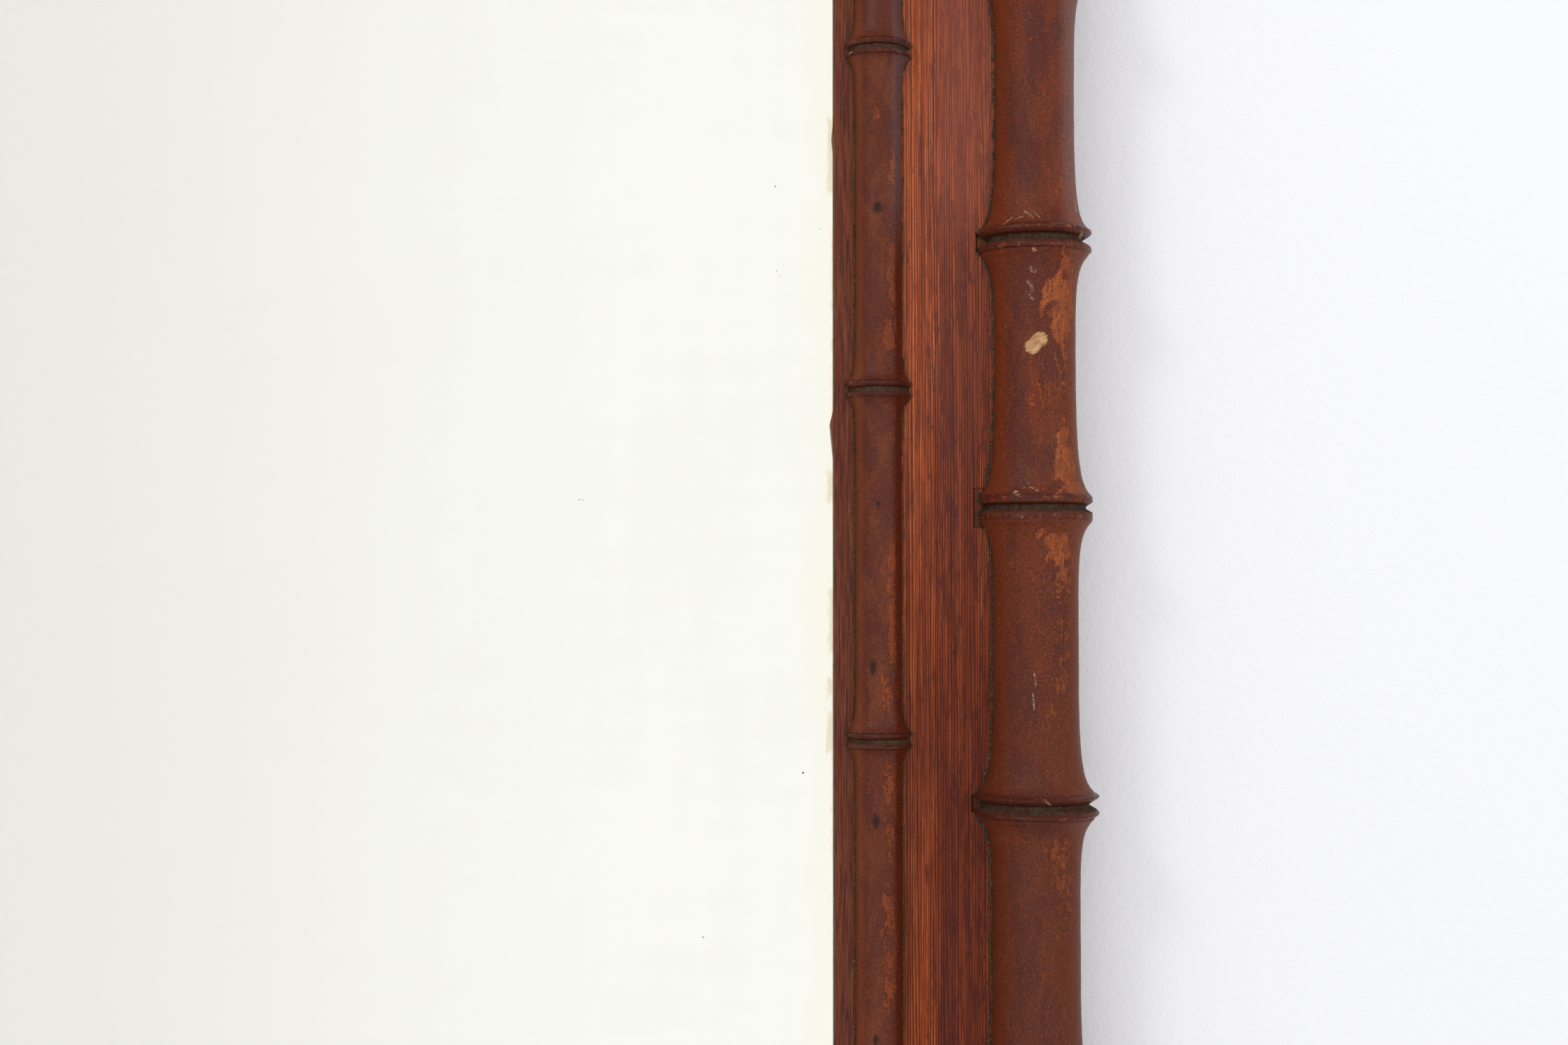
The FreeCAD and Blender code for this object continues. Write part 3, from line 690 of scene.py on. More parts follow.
@dataclass(frozen=True)
class RubbedStain:
    """Dark stain on turned wood, rubbed through where hands and cloths reach it."""

    axis: float
    half: float
    body: Colour = stain(108, 52, 31)
    purple: Colour = stain(88, 39, 31)
    red: Colour = stain(116, 48, 22)
    # Painted light on the left flank.
    painted_left_flank: Colour = stain(124, 54, 26)
    # Lighter right flank: partly rubbed stain and partly painted light.
    painted_right_flank: Colour = stain(134, 66, 38)
    dark: Colour = stain(80, 37, 27)
    black: Colour = stain(38, 20, 15)
    rim: Colour = stain(72, 31, 25)
    worn: Colour = stain(182, 97, 49)
    speckle: Colour = stain(150, 76, 36)
    flake: Colour = stain(166, 84, 40)
    bare: Colour = stain(208, 166, 120)
    rasped: Colour = stain(160, 108, 72)
    dust: Colour = stain(88, 71, 54)
    pale: Colour = stain(182, 158, 138)
    # Painted sheen near the top of the right flank.
    painted_sheen: Colour = stain(170, 160, 165)
    shift: float = 0.0
    gloss: float = 0.33
    specular: float = 0.155
    mottle: float = 1.0
    # Where the painted right flank starts and ends, as shares of the half girth, and its strength.
    flank_from: float = 0.5
    flank_to: float = 0.9
    flank_top: float = 0.6
    chips: float = 0.4
    # Strength of the painted shade towards the bottom.
    low_tone: float = 0.43
    flakes: float = 1.0
    strokes: tuple[Stroke, ...] = ()
    gouges: tuple[Stroke, ...] = ()

    def figure(self, f: Finish, side: Side) -> Figure:
        """Lay out the patterns of one turned piece.

        Args:
            f: The material being built.
            side: The piece's side.

        Returns:
            The patterns.
        """
        out, depth, along = f.local(side, self.shift)
        even = f.join(out, depth, along)
        long = f.join(out, depth, along * 0.42)
        dragged = f.join(out, depth, along * 0.22)
        streak = f.join(out, depth, along * 0.06)
        turned = f.join(out * 0.12, depth * 0.12, along)
        aside = out - self.axis
        slant = f.join(aside * 0.15, 0.0, along - aside * 0.45)
        return Figure(
            aside=aside, height=along - self.shift, level=f.onto(f.point(), UPWARDS),
            grain=f.noise(streak, 0.7, 4.0, 0.65),
            lathe=f.noise(turned, 0.7, 3.0, 0.6),
            cloud=f.noise(long, 10.0, 6.0, 0.62, 0.3),
            redness=f.noise(long, 13.0, 4.0, 0.55),
            patchy=f.noise(long, 3.0, 8.0, 0.74, 0.5),
            smear=f.noise(dragged, 1.4, 7.0, 0.75, 0.4),
            crack=f.noise(even, 2.4, 9.0, 0.80, 0.7),
            fine=f.noise(even, 0.85, 6.0, 0.78, 0.3),
            soot=f.noise(even, 1.1, 6.0, 0.75, 0.2),
            pepper=f.noise(even, 0.42, 3.0, 0.6),
            rasp=f.noise(slant, 0.5, 3.0, 0.6),
        )

    def coat(self, f: Finish, g: Figure) -> Reading:
        """Colour of the stain where it is whole.

        Args:
            f: The material being built.
            g: The piece's patterns.

        Returns:
            The colour.
        """
        return f.layers(
            self.purple,
            (f.step(g.cloud, 0.44, 0.62), self.body),
            (f.step(g.redness, 0.46, 0.60, 0.85), self.red),
            (f.step(g.patchy, 0.52, 0.60, 0.55 * self.mottle), self.dark),
            (f.step(g.grain, 0.48, 0.70, 0.42), self.dark),
            (f.step(g.lathe, 0.50, 0.68, 0.36), self.dark),
        )

    def rubbed(self, f: Finish, g: Figure, wear: Reading) -> Reading:
        """Rub the stain through, paint light and shade on the flanks, paint a sheen near the top and
        fleck the whole.

        Args:
            f: The material being built.
            g: The piece's patterns.
            wear: Where the stain is rubbed through.

        Returns:
            The colour.
        """
        worn = f.layers(
            self.worn,
            (f.step(g.grain, 0.42, 0.62, 0.6), self.red),
            (f.step(g.patchy, 0.47, 0.57, 0.6), self.body),
            (f.step(g.fine, 0.46, 0.38, 0.5), self.dark),
        )
        # Flank colours: painted light on the left; on canes the right is partly rubbed stain and partly
        # painted light, on beads painted shade.
        left = f.step(g.aside, -0.55 * self.half, -0.9 * self.half, 0.7)
        right = f.step(g.aside, self.flank_from * self.half, self.flank_to * self.half,
                       self.flank_top)
        ready = f.step(f.mask("rub") + g.cloud, 0.50, 0.95)
        sprinkle = f.step(g.smear, 0.53, 0.60, 0.6 * self.mottle) * ready
        sprinkle = sprinkle * (0.45 + f.step(g.height, 112.0, 92.0, 0.55))
        flaked = f.step(g.fine + g.patchy.swing(0.5), 0.545, 0.59, 0.42 * self.flakes)
        flaked = flaked * (0.2 + f.step(g.level, 50.0, -20.0, 0.8))
        # Painted sheen: paler near the top of the right flank.
        painted_sheen = f.step(g.level, 105.0, 150.0, 0.15)
        painted_sheen = painted_sheen * f.step(g.aside, 0.4 * self.half, 0.75 * self.half)
        return f.layers(
            self.coat(f, g),
            (wear * 0.9, worn),
            (left, self.painted_left_flank),
            (right, self.painted_right_flank),
            (sprinkle, self.speckle),
            (flaked, self.flake),
            (f.step(g.pepper, 0.51, 0.66, 0.30), self.speckle),
            (f.step(g.pepper, 0.49, 0.34, 0.5), self.dark),
            (painted_sheen, self.painted_sheen),
            (f.step(g.fine, 0.455, 0.38, 0.62 * self.mottle), self.black),
            (f.step(g.pepper, 0.37, 0.31, 0.6), self.black),
            (f.step(g.soot, 0.59, 0.66, 0.5), self.black),
        )

    def soiled_and_shaded(self, f: Finish, g: Figure, colour: Reading, dusty: Reading) -> Reading:
        """Darken the lips, the lower part and the bead's pits, paint shade in the groove bottoms, under
        the upper lips and along the lines beside the lips, and lay dust in the grooves.

        Args:
            f: The material being built.
            g: The piece's patterns.
            colour: Colour of the wood.
            dusty: Where dust lies.

        Returns:
            The colour.
        """
        dust = f.layers(
            self.dust,
            (f.step(g.patchy, 0.44, 0.58, 0.75), self.dark),
            (f.step(g.fine, 0.47, 0.56, 0.6), self.black),
        )
        return f.layers(
            colour,
            # Painted shade: darker towards the bottom, as light falls from above.
            (f.step(g.level, 50.0, -70.0, self.low_tone), self.dark),
            (f.mask("rim") * f.step(g.crack, 0.59, 0.48, 0.85), self.rim),
            # Painted shade in the groove bottoms, under the upper lips and along the lines beside the
            # lips; on beads the same mask also darkens the pits.
            (f.step(f.mask("pit") + g.fine.swing(1.6), 0.42, 0.66, 0.88), self.black),
            (dusty * 0.92, dust),
        )

    def build(self, name: str, side: Side) -> bpy.types.Material:
        """Make the material for one turned piece.

        Args:
            name: Name of the material.
            side: The piece's side.

        Returns:
            The material.
        """
        f = Finish(name)
        g = self.figure(f, side)
        uneven = g.crack.swing(1.7) + g.smear.swing(1.1) + g.fine.swing(self.chips)
        wear = f.step(f.mask("rub") + uneven, 0.49, 0.58)
        dusty = f.step(f.mask("grime") + g.soot.swing(1.2), 0.40, 0.72)
        spot = f.join(g.aside, 0.0, g.height)
        bared = f.mask("bare")
        for gouge in self.gouges:
            bared = f.math("MAXIMUM", bared, gouge.cover(f, spot))
        bared = f.step(bared + g.rasp.swing(1.2), 0.42, 0.78)
        wood = f.layers(self.bare, (f.step(g.rasp, 0.58, 0.42, 0.8), self.rasped))
        frayed = f.step(g.fine, 0.45, 0.56)
        colour = f.layers(
            self.soiled_and_shaded(f, g, self.rubbed(f, g, wear), dusty),
            (bared * 0.92, wood),
            *[(stroke.cover(f, spot) * frayed, self.pale) for stroke in self.strokes],
            (f.step(g.pepper, 0.69, 0.73, 0.6), self.pale),
        )
        rough = self.gloss + g.patchy * 0.14 - f.mask("rim") * 0.15
        rough = rough + dusty * 0.5 + bared * 0.25
        height = g.fine * 0.7 - wear * 0.5 + dusty * (g.soot * 1.6) - bared * 0.8
        normal = f.relief(g.grain + g.lathe, 0.05, f.relief(height, 0.11))
        return f.surface(Base_Color=colour, Roughness=rough, Normal=normal,
                         Specular_IOR_Level=self.specular)


@dataclass(frozen=True)
class BeadStain(RubbedStain):
    """The same stain on the narrow beads: glossier, with painted light on the left flank, painted shade
    on the right flank and fine chips.
    """

    body: Colour = stain(112, 56, 33)
    red: Colour = stain(98, 42, 24)
    worn: Colour = stain(150, 70, 33)
    # Painted light on the bead's left flank.
    painted_left_flank: Colour = stain(130, 66, 40)
    # Painted shade on the bead's right flank, beside the cane.
    painted_right_flank: Colour = stain(78, 24, 10)
    gloss: float = 0.28
    mottle: float = 0.6
    flank_from: float = 0.6
    flank_to: float = 0.76
    flank_top: float = 0.92
    chips: float = 2.2
    low_tone: float = 0.06
    flakes: float = 0.55


@dataclass(frozen=True)
class BarePine:
    """Unstained pine of the back, greyed by air and dust, with its grain upright."""

    light: Colour = stain(176, 140, 98)
    dark: Colour = stain(118, 84, 54)
    grey: Colour = stain(130, 112, 88)
    ring: float = 5.5
    shift: float = 0.0

    def build(self, name: str) -> bpy.types.Material:
        """Make the material.

        Args:
            name: Name of the material.

        Returns:
            The material.
        """
        f = Finish(name)
        where = f.point()
        out = f.onto(where, RIGHTWARDS) + self.shift
        depth, run = f.onto(where, BACKWARDS), f.onto(where, UPWARDS)
        figure = f.noise(f.join(out, self.shift, run * 0.10), 24.0, 2.0)
        phase = f.math("FRACT", out * (1 / self.ring) + figure * 9.0)
        line = f.math("POWER", phase, 3.0) * (1.0 - f.step(phase, 0.9, 1.0))
        fibre = f.noise(f.join(out, depth, run * 0.03), 0.8, 4.0, 0.65)
        cloud = f.noise(f.join(out, depth, run * 0.4), 45.0, 5.0, 0.6)
        colour = f.layers(
            self.dark,
            (f.step(fibre, 0.3, 0.7), self.light),
            (line * 0.75, self.dark),
            (f.step(cloud, 0.42, 0.68, 0.5), self.grey),
            (f.step(f.noise(where, 2.0, 5.0, 0.7), 0.60, 0.72, 0.5), self.dark),
        )
        return f.surface(Base_Color=colour, Roughness=f.step(fibre, 0.0, 1.0, 0.95),
                         Normal=f.relief(fibre - line * 0.6, 0.25), Specular_IOR_Level=0.25)


@dataclass(frozen=True)
class OldMetal:
    """Metal with tarnish, rust or dull patches."""

    shine: Colour = stain(172, 130, 70)
    tarnish: Colour = stain(112, 80, 46)
    spots: Colour = stain(52, 44, 34)
    metallic: float = 1.0
    polish: float = 0.30
    grain: float = 0.9

    def build(self, name: str) -> bpy.types.Material:
        """Make the material.

        Args:
            name: Name of the material.

        Returns:
            The material.
        """
        f = Finish(name)
        where = f.point()
        cloud = f.noise(where, 4.0 * self.grain, 5.0, 0.65)
        fine = f.noise(where, 0.6 * self.grain, 4.0, 0.7)
        colour = f.layers(
            self.shine,
            (f.step(cloud, 0.42, 0.62), self.tarnish),
            (f.step(fine, 0.56, 0.68, 0.8), self.spots),
        )
        return f.surface(Base_Color=colour, Roughness=self.polish + cloud * 0.35,
                         Metallic=self.metallic, Normal=f.relief(cloud + fine, 0.08))


@dataclass(frozen=True)
class OldSilver:
    """Silvering with haze, a painted reflection that darkens towards the left, a cream fringe, brown
    stains at its edge and small dark specks.

    Stains are (lowest, highest, width) along the right edge. Specks are (x, z, radius).
    """

    clear: Colour = (0.925, 0.91, 0.875)
    haze: Colour = (0.885, 0.87, 0.815)
    # Colour of the painted reflection's darker left part.
    dim: Colour = (0.775, 0.765, 0.70)
    cream: Colour = (0.925, 0.895, 0.77)
    brown: Colour = (0.78, 0.67, 0.48)
    black: Colour = stain(40, 40, 36)
    stains: tuple[tuple[float, float, float], ...] = (
        (141.0, 172.0, 2.8), (94.0, 128.0, 1.1), (55.0, 90.0, 0.9), (20.0, 34.5, 3.0),
        (-38.5, -11.0, 2.3), (-55.5, -46.0, 3.1), (-77.0, -59.0, 3.2), (-120.0, -40.0, 1.0),
    )
    specks: tuple[tuple[float, float, float], ...] = (
        (188.2, -83.8, 0.5), (177.4, 144.5, 0.35), (178.0, 111.3, 0.25), (179.2, 109.5, 0.22),
        (195.0, 127.8, 0.22), (149.5, -147.3, 0.35), (101.2, 22.2, 0.3), (102.6, 22.0, 0.25),
    )
    speck_spacing: float = 62.0

    def stained(self, f: Finish, x: Reading, z: Reading, edge: Reading) -> Reading:
        """Where brown stains creep in from the glass's right edge.

        Args:
            f: The material being built.
            x: Place across the glass.
            z: Height on the glass.
            edge: Distance from the sight edge.

        Returns:
            The stains' mask.
        """
        streaks = f.noise(f.join(x, 0.0, z * 0.22), 1.1, 5.0, 0.7)
        total = -9.0
        for low, high, width in self.stains:
            inside = f.math("MINIMUM", z - low, high - z) * 0.5
            total = f.math("MAXIMUM", total, f.math("MINIMUM", inside, width - edge))
        return f.step(total + streaks.swing(5.0), -0.2, 1.4) * f.step(x, 0.0, 1.0, 0.8)

    def flecked(self, f: Finish, flat: Reading) -> Reading:
        """Small dark specks, some placed and some scattered.

        Args:
            f: The material being built.
            flat: Place on the glass.

        Returns:
            The specks' mask.
        """
        cells = f.read("ShaderNodeTexVoronoi", "Distance", {
            "Vector": flat, "Scale": 1 / self.speck_spacing, "Randomness": 1.0}, feature="F1")
        total = f.step(cells, 0.006, 0.004)
        for x, z, size in self.specks:
            speck = f.step(f.gap(flat, (x, 0.0, z)), size, 0.5 * size)
            total = f.math("MAXIMUM", total, speck)
        return total

    def build(self, name: str) -> bpy.types.Material:
        """Make the material.

        Args:
            name: Name of the material.

        Returns:
            The material.
        """
        f = Finish(name)
        where = f.point()
        x, z = f.onto(where, RIGHTWARDS), f.onto(where, UPWARDS)
        flat = f.join(x, 0.0, z)
        edge = f.math("MINIMUM", SIZES.reach(Side.RIGHT) - f.math("ABSOLUTE", x),
                      SIZES.reach(Side.TOP) - f.math("ABSOLUTE", z))
        weave = (f.noise(f.join(x * 0.10, 0.0, z), 9.0, 3.0, 0.6)
                 + f.noise(f.join(x, 0.0, z * 0.10), 11.0, 3.0, 0.6))
        hazy = (weave - 1.0) * 0.5 + f.noise(flat, 90.0, 4.0, 0.55)
        wobble = f.noise(f.join(x, 0.0, z * 0.5), 26.0, 4.0) * 26.0
        fleck = self.flecked(f, flat)
        colour = f.layers(
            self.clear,
            (f.step(hazy, 0.36, 0.70, 0.35), self.haze),
            # Painted reflection: darker towards the left of the glass.
            (f.step(x, 150.0, -170.0, 0.95), self.dim),
            (f.step(edge - wobble, 4.0, -11.0) * 0.85, self.cream),
            (self.stained(f, x, z, edge), self.brown),
            (fleck, self.black),
        )
        return f.surface(Base_Color=colour, Roughness=0.03 + hazy * 0.05,
                         Metallic=f.math("SUBTRACT", 1.0, fleck, clamp=True))


@dataclass(frozen=True)
class ClearPlate:
    """Old clear glass with faint waviness."""

    tint: Colour = (0.99, 0.993, 0.985)
    index: float = 1.5

    def build(self, name: str) -> bpy.types.Material:
        """Make the material.

        Args:
            name: Name of the material.

        Returns:
            The material.
        """
        f = Finish(name)
        wave = f.noise(f.stretch(f.point(), (1.0, 0.0, 0.6)), 60.0, 1.0)
        return f.surface(Base_Color=self.tint, Roughness=0.0, IOR=self.index,
                         Transmission_Weight=1.0, Normal=f.relief(wave, 0.04))


# Turned pieces


@dataclass(frozen=True)
class TurnedOutline:
    """Outline of a turned piece with joints: radii and tables in millimetres at full girth.

    Tables give the depth of the groove and the swelling under and over a joint, by the distance
    from its middle. Shares are of the half spacing between a joint's two lips.
    """

    waist: float
    tip: float
    half_spacing: float
    groove: Table
    under: Table
    over: Table
    lip_share: float = 1.08
    line_share: float = 1.36
    fine_share: float = 2.8
    crisp: float = 0.02
    closest: float = 0.03

    def radius(self, places: np.ndarray, joints: Table) -> np.ndarray:
        """Radius at places along the piece.

        Args:
            places: Places, rising in the world's direction.
            joints: Places and girths of the joints.

        Returns:
            The radii.
        """
        spots = [place for place, _ in joints]
        girths = [girth for _, girth in joints]
        middle = [(a + b) / 2 for a, b in zip(girths, girths[1:])]
        ends = [(a + b) / 2 for a, b in zip(spots, spots[1:])]
        base = np.interp(places, ends, middle) if ends else np.full(places.shape, girths[0])
        radius = self.waist * base
        for spot, girth in joints:
            gap = places - spot
            low = smooth_table(-gap, self.under) * (gap < 0)
            high = smooth_table(gap, self.over) * (gap >= 0)
            radius = radius + girth * (low + high)
        for spot, girth in joints:
            gap = np.abs(places - spot)
            lip = self.tip * girth - smooth_table(gap, self.groove)
            radius = np.where(gap < self.half_spacing, lip, radius)
        return radius

    def in_groove(self, places: np.ndarray, joints: Table, upright: bool) -> np.ndarray:
        """How much dust and shade a groove holds at each place.

        Args:
            places: Places along the piece.
            joints: Places and girths of the joints.
            upright: Whether the piece stands, so that dust lies on the groove's lower wall.

        Returns:
            1 in the middle of a groove and 0 away from it.
        """
        gaps = np.array([places - spot for spot, _ in joints])
        reach = np.where(gaps > 0, 0.35, 0.80) if upright else 0.6
        return np.clip(1.3 - np.abs(gaps) / (reach * self.half_spacing), 0, 1).max(axis=0)

    def in_line(self, places: np.ndarray, joints: Table, upright: bool) -> np.ndarray:
        """How much painted shade each place gets: in the bottom of a groove, on an upright piece's upper
        groove wall, and along the line beside a lip.

        Args:
            places: Places along the piece.
            joints: Places and girths of the joints.
            upright: Whether the piece stands, so that painted shade also lies on the groove's upper
                wall.

        Returns:
            1 in a line and 0 away from it.
        """
        gaps = np.array([places - spot for spot, _ in joints])
        deep = np.clip(1.0 - np.abs(gaps) / (0.26 * self.half_spacing), 0, 1)
        above = np.clip(1.5 - gaps / (0.6 * self.half_spacing), 0, 1) * (gaps > 0) * upright
        line = self.line_share * self.half_spacing
        beside = np.clip(1.0 - np.abs(np.abs(gaps) - line) / 0.4, 0, 1)
        return np.maximum(np.maximum(deep, 0.78 * above), 0.74 * beside).max(axis=0)

    def on_rim(self, places: np.ndarray, joints: Table) -> np.ndarray:
        """How near to a lip each place is.

        Args:
            places: Places along the piece.
            joints: Places and girths of the joints.

        Returns:
            1 on a lip and 0 away from it.
        """
        band = self.lip_share * self.half_spacing
        nearest = np.min([np.abs(np.abs(places - spot) - band) for spot, _ in joints], axis=0)
        return np.clip(2.2 - 2 * nearest / (0.5 * self.half_spacing), 0, 1)

    def stations(self, low: float, high: float, joints: Table, coarse: float, fine: float,
                 extra: Sequence[float] = ()) -> np.ndarray:
        """Places of the rings, close together round the joints.

        Args:
            low: Lower end.
            high: Upper end.
            joints: Places and girths of the joints.
            coarse: Step on the plain stretches.
            fine: Step round a joint.
            extra: More places that need fine steps.

        Returns:
            Rising places.
        """
        marks = [np.arange(low, high, coarse), [low, high]]
        reach = self.half_spacing * self.fine_share
        for spot, _ in joints:
            marks.append(np.arange(spot - reach, spot + reach, fine))
            marks.append([spot + way * (self.half_spacing + nudge)
                          for way in (-1, 1) for nudge in (-self.crisp, self.crisp)])
            marks.append(np.arange(spot - 3 * reach, spot + 3 * reach, fine * 2.5))
        for spot in extra:
            marks.append(np.arange(spot - 4, spot + 4, fine))
        every = np.unique(np.round(np.concatenate(marks), 2))
        every = every[(every >= low) & (every <= high)]
        kept = [every[0]]
        for mark in every[1:]:
            if mark - kept[-1] >= self.closest:
                kept.append(mark)
        kept[-1] = high
        return np.array(kept)


CANE_OUTLINE = TurnedOutline(
    waist=16.0, tip=23.0, half_spacing=3.3,
    groove=[(0, 3.8), (0.35, 3.75), (0.8, 3.2), (1.3, 2.3), (1.8, 1.45), (2.3, 0.75), (2.6, 0.38),
            (2.95, 0.08), (3.3, 0)],
    under=[(3.3, 6.98), (3.8, 6.82), (4.2, 6.5), (4.5, 6.0), (4.7, 5.6), (4.95, 5.6), (5.5, 5.3),
           (6.3, 4.6), (7.5, 3.7), (10.2, 2.3), (13.9, 1.3), (18, 0.7), (24, 0.3), (32, 0.1),
           (45, 0)],
    over=[(3.3, 6.9), (3.7, 6.6), (4.0, 6.1), (4.2, 5.6), (4.35, 5.3), (4.6, 5.25), (5.2, 4.75),
          (6.2, 3.95), (7.5, 3.2), (9, 2.6), (11.3, 1.9), (14.8, 1.3), (19, 0.8), (25, 0.4),
          (32, 0.15), (42, 0)],
)
BEAD_OUTLINE = TurnedOutline(
    waist=9.0, tip=12.8, half_spacing=2.2,
    groove=[(0, 1.8), (0.3, 1.75), (0.8, 1.15), (1.3, 0.55), (1.8, 0.12), (2.2, 0)],
    under=[(2.2, 3.8), (2.6, 3.65), (3.2, 3.1), (4.2, 2.2), (5.6, 1.3), (8, 0.6), (12, 0.2),
           (18, 0)],
    over=[(2.2, 3.8), (2.6, 3.65), (3.2, 3.1), (4.2, 2.2), (5.6, 1.35), (8, 0.7), (12, 0.28),
          (20, 0)],
)
UPRIGHT_JOINTS: Table = [
    (-207.3, 1.065), (-94.2, 1.052), (18.6, 0.996), (120.6, 0.957), (225.8, 0.945)]
LEVEL_JOINTS: Table = [(-132.96, 0.93), (0.0, 0.93), (132.96, 0.93)]
UPRIGHT_BEAD_JOINTS: Table = [(-199.9, 1.0), (-69.9, 1.0), (63.7, 1.0), (194.1, 1.0)]
LEVEL_BEAD_JOINTS: Table = [(-68.0, 1.0), (68.0, 1.0)]


@dataclass
class Cane:
    """A turned cane along one outer edge, cut away where it sits over the board's corner.

    An upright cane runs past the corner by its overrun, and a level one is coped to meet it.
    The round part is what is left of the cane's round, in degrees.
    """

    side: Side
    rubs: Sequence[Patch] = ()
    scars: Sequence[Patch] = ()
    overrun: float = 36.0
    end_ease: float = 0.9
    end_rings: tuple[float, ...] = (0.05, 0.15, 0.3, 0.5, 0.8, 1.2, 2, 3, 4, 6, 8, 10)
    round_part: float = 270.0
    round_points: int = 97
    seat_points: int = 17
    coarse: float = 2.6
    fine: float = 0.42
    cope_reach: float = 45.0
    cope_gap: float = 0.2

    @property
    def joints(self) -> Table:
        """Places and girths of the side's joints."""
        return UPRIGHT_JOINTS if self.side.upright else LEVEL_JOINTS

    def radius(self, places: np.ndarray) -> np.ndarray:
        """Radius at places along the world's axis.

        Args:
            places: The places.

        Returns:
            The radii.
        """
        radius = CANE_OUTLINE.radius(places, self.joints)
        if not self.side.upright:
            return radius
        end = SIZES.half_outer(self.side) + self.overrun
        near = end - np.abs(places)
        girth = np.where(places > 0, self.joints[-1][1], self.joints[0][1])
        flare = smooth_table(CANE_OUTLINE.half_spacing + near, CANE_OUTLINE.over) * girth
        ease = self.end_ease
        worn = ease - np.sqrt(np.clip(ease**2 - np.clip(ease - near, 0, ease) ** 2, 0, None))
        return np.minimum(radius + flare - worn * (near < ease), CANE_OUTLINE.tip * girth)

    def build(self) -> bpy.types.Object:
        """Make the cane and its masks.

        Returns:
            The cane.
        """
        half = SIZES.half_outer(self.side)
        end = half + (self.overrun if self.side.upright else 0.0)
        places = CANE_OUTLINE.stations(-end, end, self.joints, self.coarse, self.fine)
        if self.side.upright:
            rim, crisp = np.array(self.end_rings), CANE_OUTLINE.crisp
            steps = [way * half + nudge for way in (-1, 1) for nudge in (-crisp, crisp)]
            places = np.unique(np.concatenate([places, end - rim, rim - end, steps]))
        angles = np.radians(np.concatenate([
            np.linspace(0, self.round_part, self.round_points),
            np.linspace(self.round_part, 360, self.seat_points)[1:-1]]))
        grid_place, angle = np.meshgrid(places, angles, indexing="ij")
        radius = self.radius(places)[:, None] * np.ones_like(angle)
        seed = self.side.seed
        arc = angle * CANE_OUTLINE.waist
        radius -= 0.10 + 0.10 * ripple(arc, grid_place * 0.2, seed, 30)
        radius -= 0.03 * (1 + np.sin(grid_place * 2.9 + ripple(arc, grid_place, seed + 1, 22)))
        lip = np.clip(1 - np.abs(radius - CANE_OUTLINE.tip * 0.98) / 1.2, 0, 1)
        radius -= lip * np.clip(ripple(arc, grid_place * 3, seed + 2, 7) - 1.1, 0, 1) * 0.5
        out, depth = radius * np.sin(angle), radius * np.cos(angle)

        seated = (angle > math.radians(self.round_part)) & (np.abs(grid_place) < half)
        turn = (np.degrees(angle) - self.round_part) / (360 - self.round_part)
        edge = self.radius(places)[:, None]
        out = np.where(seated, -edge * np.clip(1 - 2 * turn, 0, 1), out)
        depth = np.where(seated, edge * np.clip(2 * turn - 1, 0, 1), depth)

        grid_along = grid_place.copy()
        if not self.side.upright:
            girth = UPRIGHT_JOINTS[-1 if self.side is Side.TOP else 0][1]
            ring = CANE_OUTLINE.waist * girth + self.cope_gap
            hollow = half - np.sqrt(np.clip(ring**2 - depth**2, 0, None))
            start = half - self.cope_reach
            pull = np.clip((np.abs(grid_place) - start) / self.cope_reach, 0, 1)
            grid_along = np.where(
                pull > 0, np.sign(grid_place) * (start + (hollow - start) * pull), grid_place)
        rings = SIZES.place(self.side, SIZES.board_width + out, depth - SIZES.board_thickness,
                            grid_along * self.side.sign)
        piece = MeshMaker.loft(f"{self.side.label}_turned_cane", rings)
        self.wear(piece, grid_place, out, depth, angle)
        return piece

    def wear(self, piece: bpy.types.Object, places: np.ndarray, out: np.ndarray,
             depth: np.ndarray, angle: np.ndarray) -> None:
        """Store the masks of lips, rubbed stain, bare wood, dust, and painted shade in the grooves and
        lines.

        Args:
            piece: The cane.
            places: Place of each point along the cane.
            out: Distance of each point outwards from the axis.
            depth: Distance of each point behind the axis.
            angle: Angle of each point.
        """
        seed = self.side.seed
        ragged = ripple(out, places, seed + 5, 7, 12)
        front = np.clip(-depth / 12, 0, 1)
        rub = 0.16 + 0.10 * ripple(out, places * 0.5, seed + 6, 24)
        rub += 0.16 * np.clip(out / 14, 0, 1)
        for patch in self.rubs:
            rub = np.maximum(rub, patch.cover(places, out, ragged) * front)
        spot = np.min([np.abs(np.abs(places - place) - 3.6) for place, _ in self.joints], axis=0)
        rub += np.clip(0.5 - spot / 2.5, 0, 0.5) * np.clip(0.6 + ragged, 0, 1)
        bare = np.zeros_like(rub)
        frayed = ripple(out, places, seed + 7, 2.6, 12)
        for patch in self.scars:
            bare = np.maximum(bare, patch.cover(places, out, frayed) * front)
        groove = CANE_OUTLINE.in_groove(places, self.joints, self.side.upright)
        turn = np.degrees(angle)
        seam = np.clip(1 - np.minimum(turn, np.abs(self.round_part - turn)) / 3, 0, 1)
        # The pit mask is painted shade in the groove bottoms, under the upper lips and along the lines
        # beside the lips.
        MeshMaker.paint(
            piece, rim=CANE_OUTLINE.on_rim(places, self.joints), rub=rub, bare=bare,
            grime=np.maximum(groove * 1.1, seam * 0.8),
            pit=CANE_OUTLINE.in_line(places, self.joints, self.side.upright))


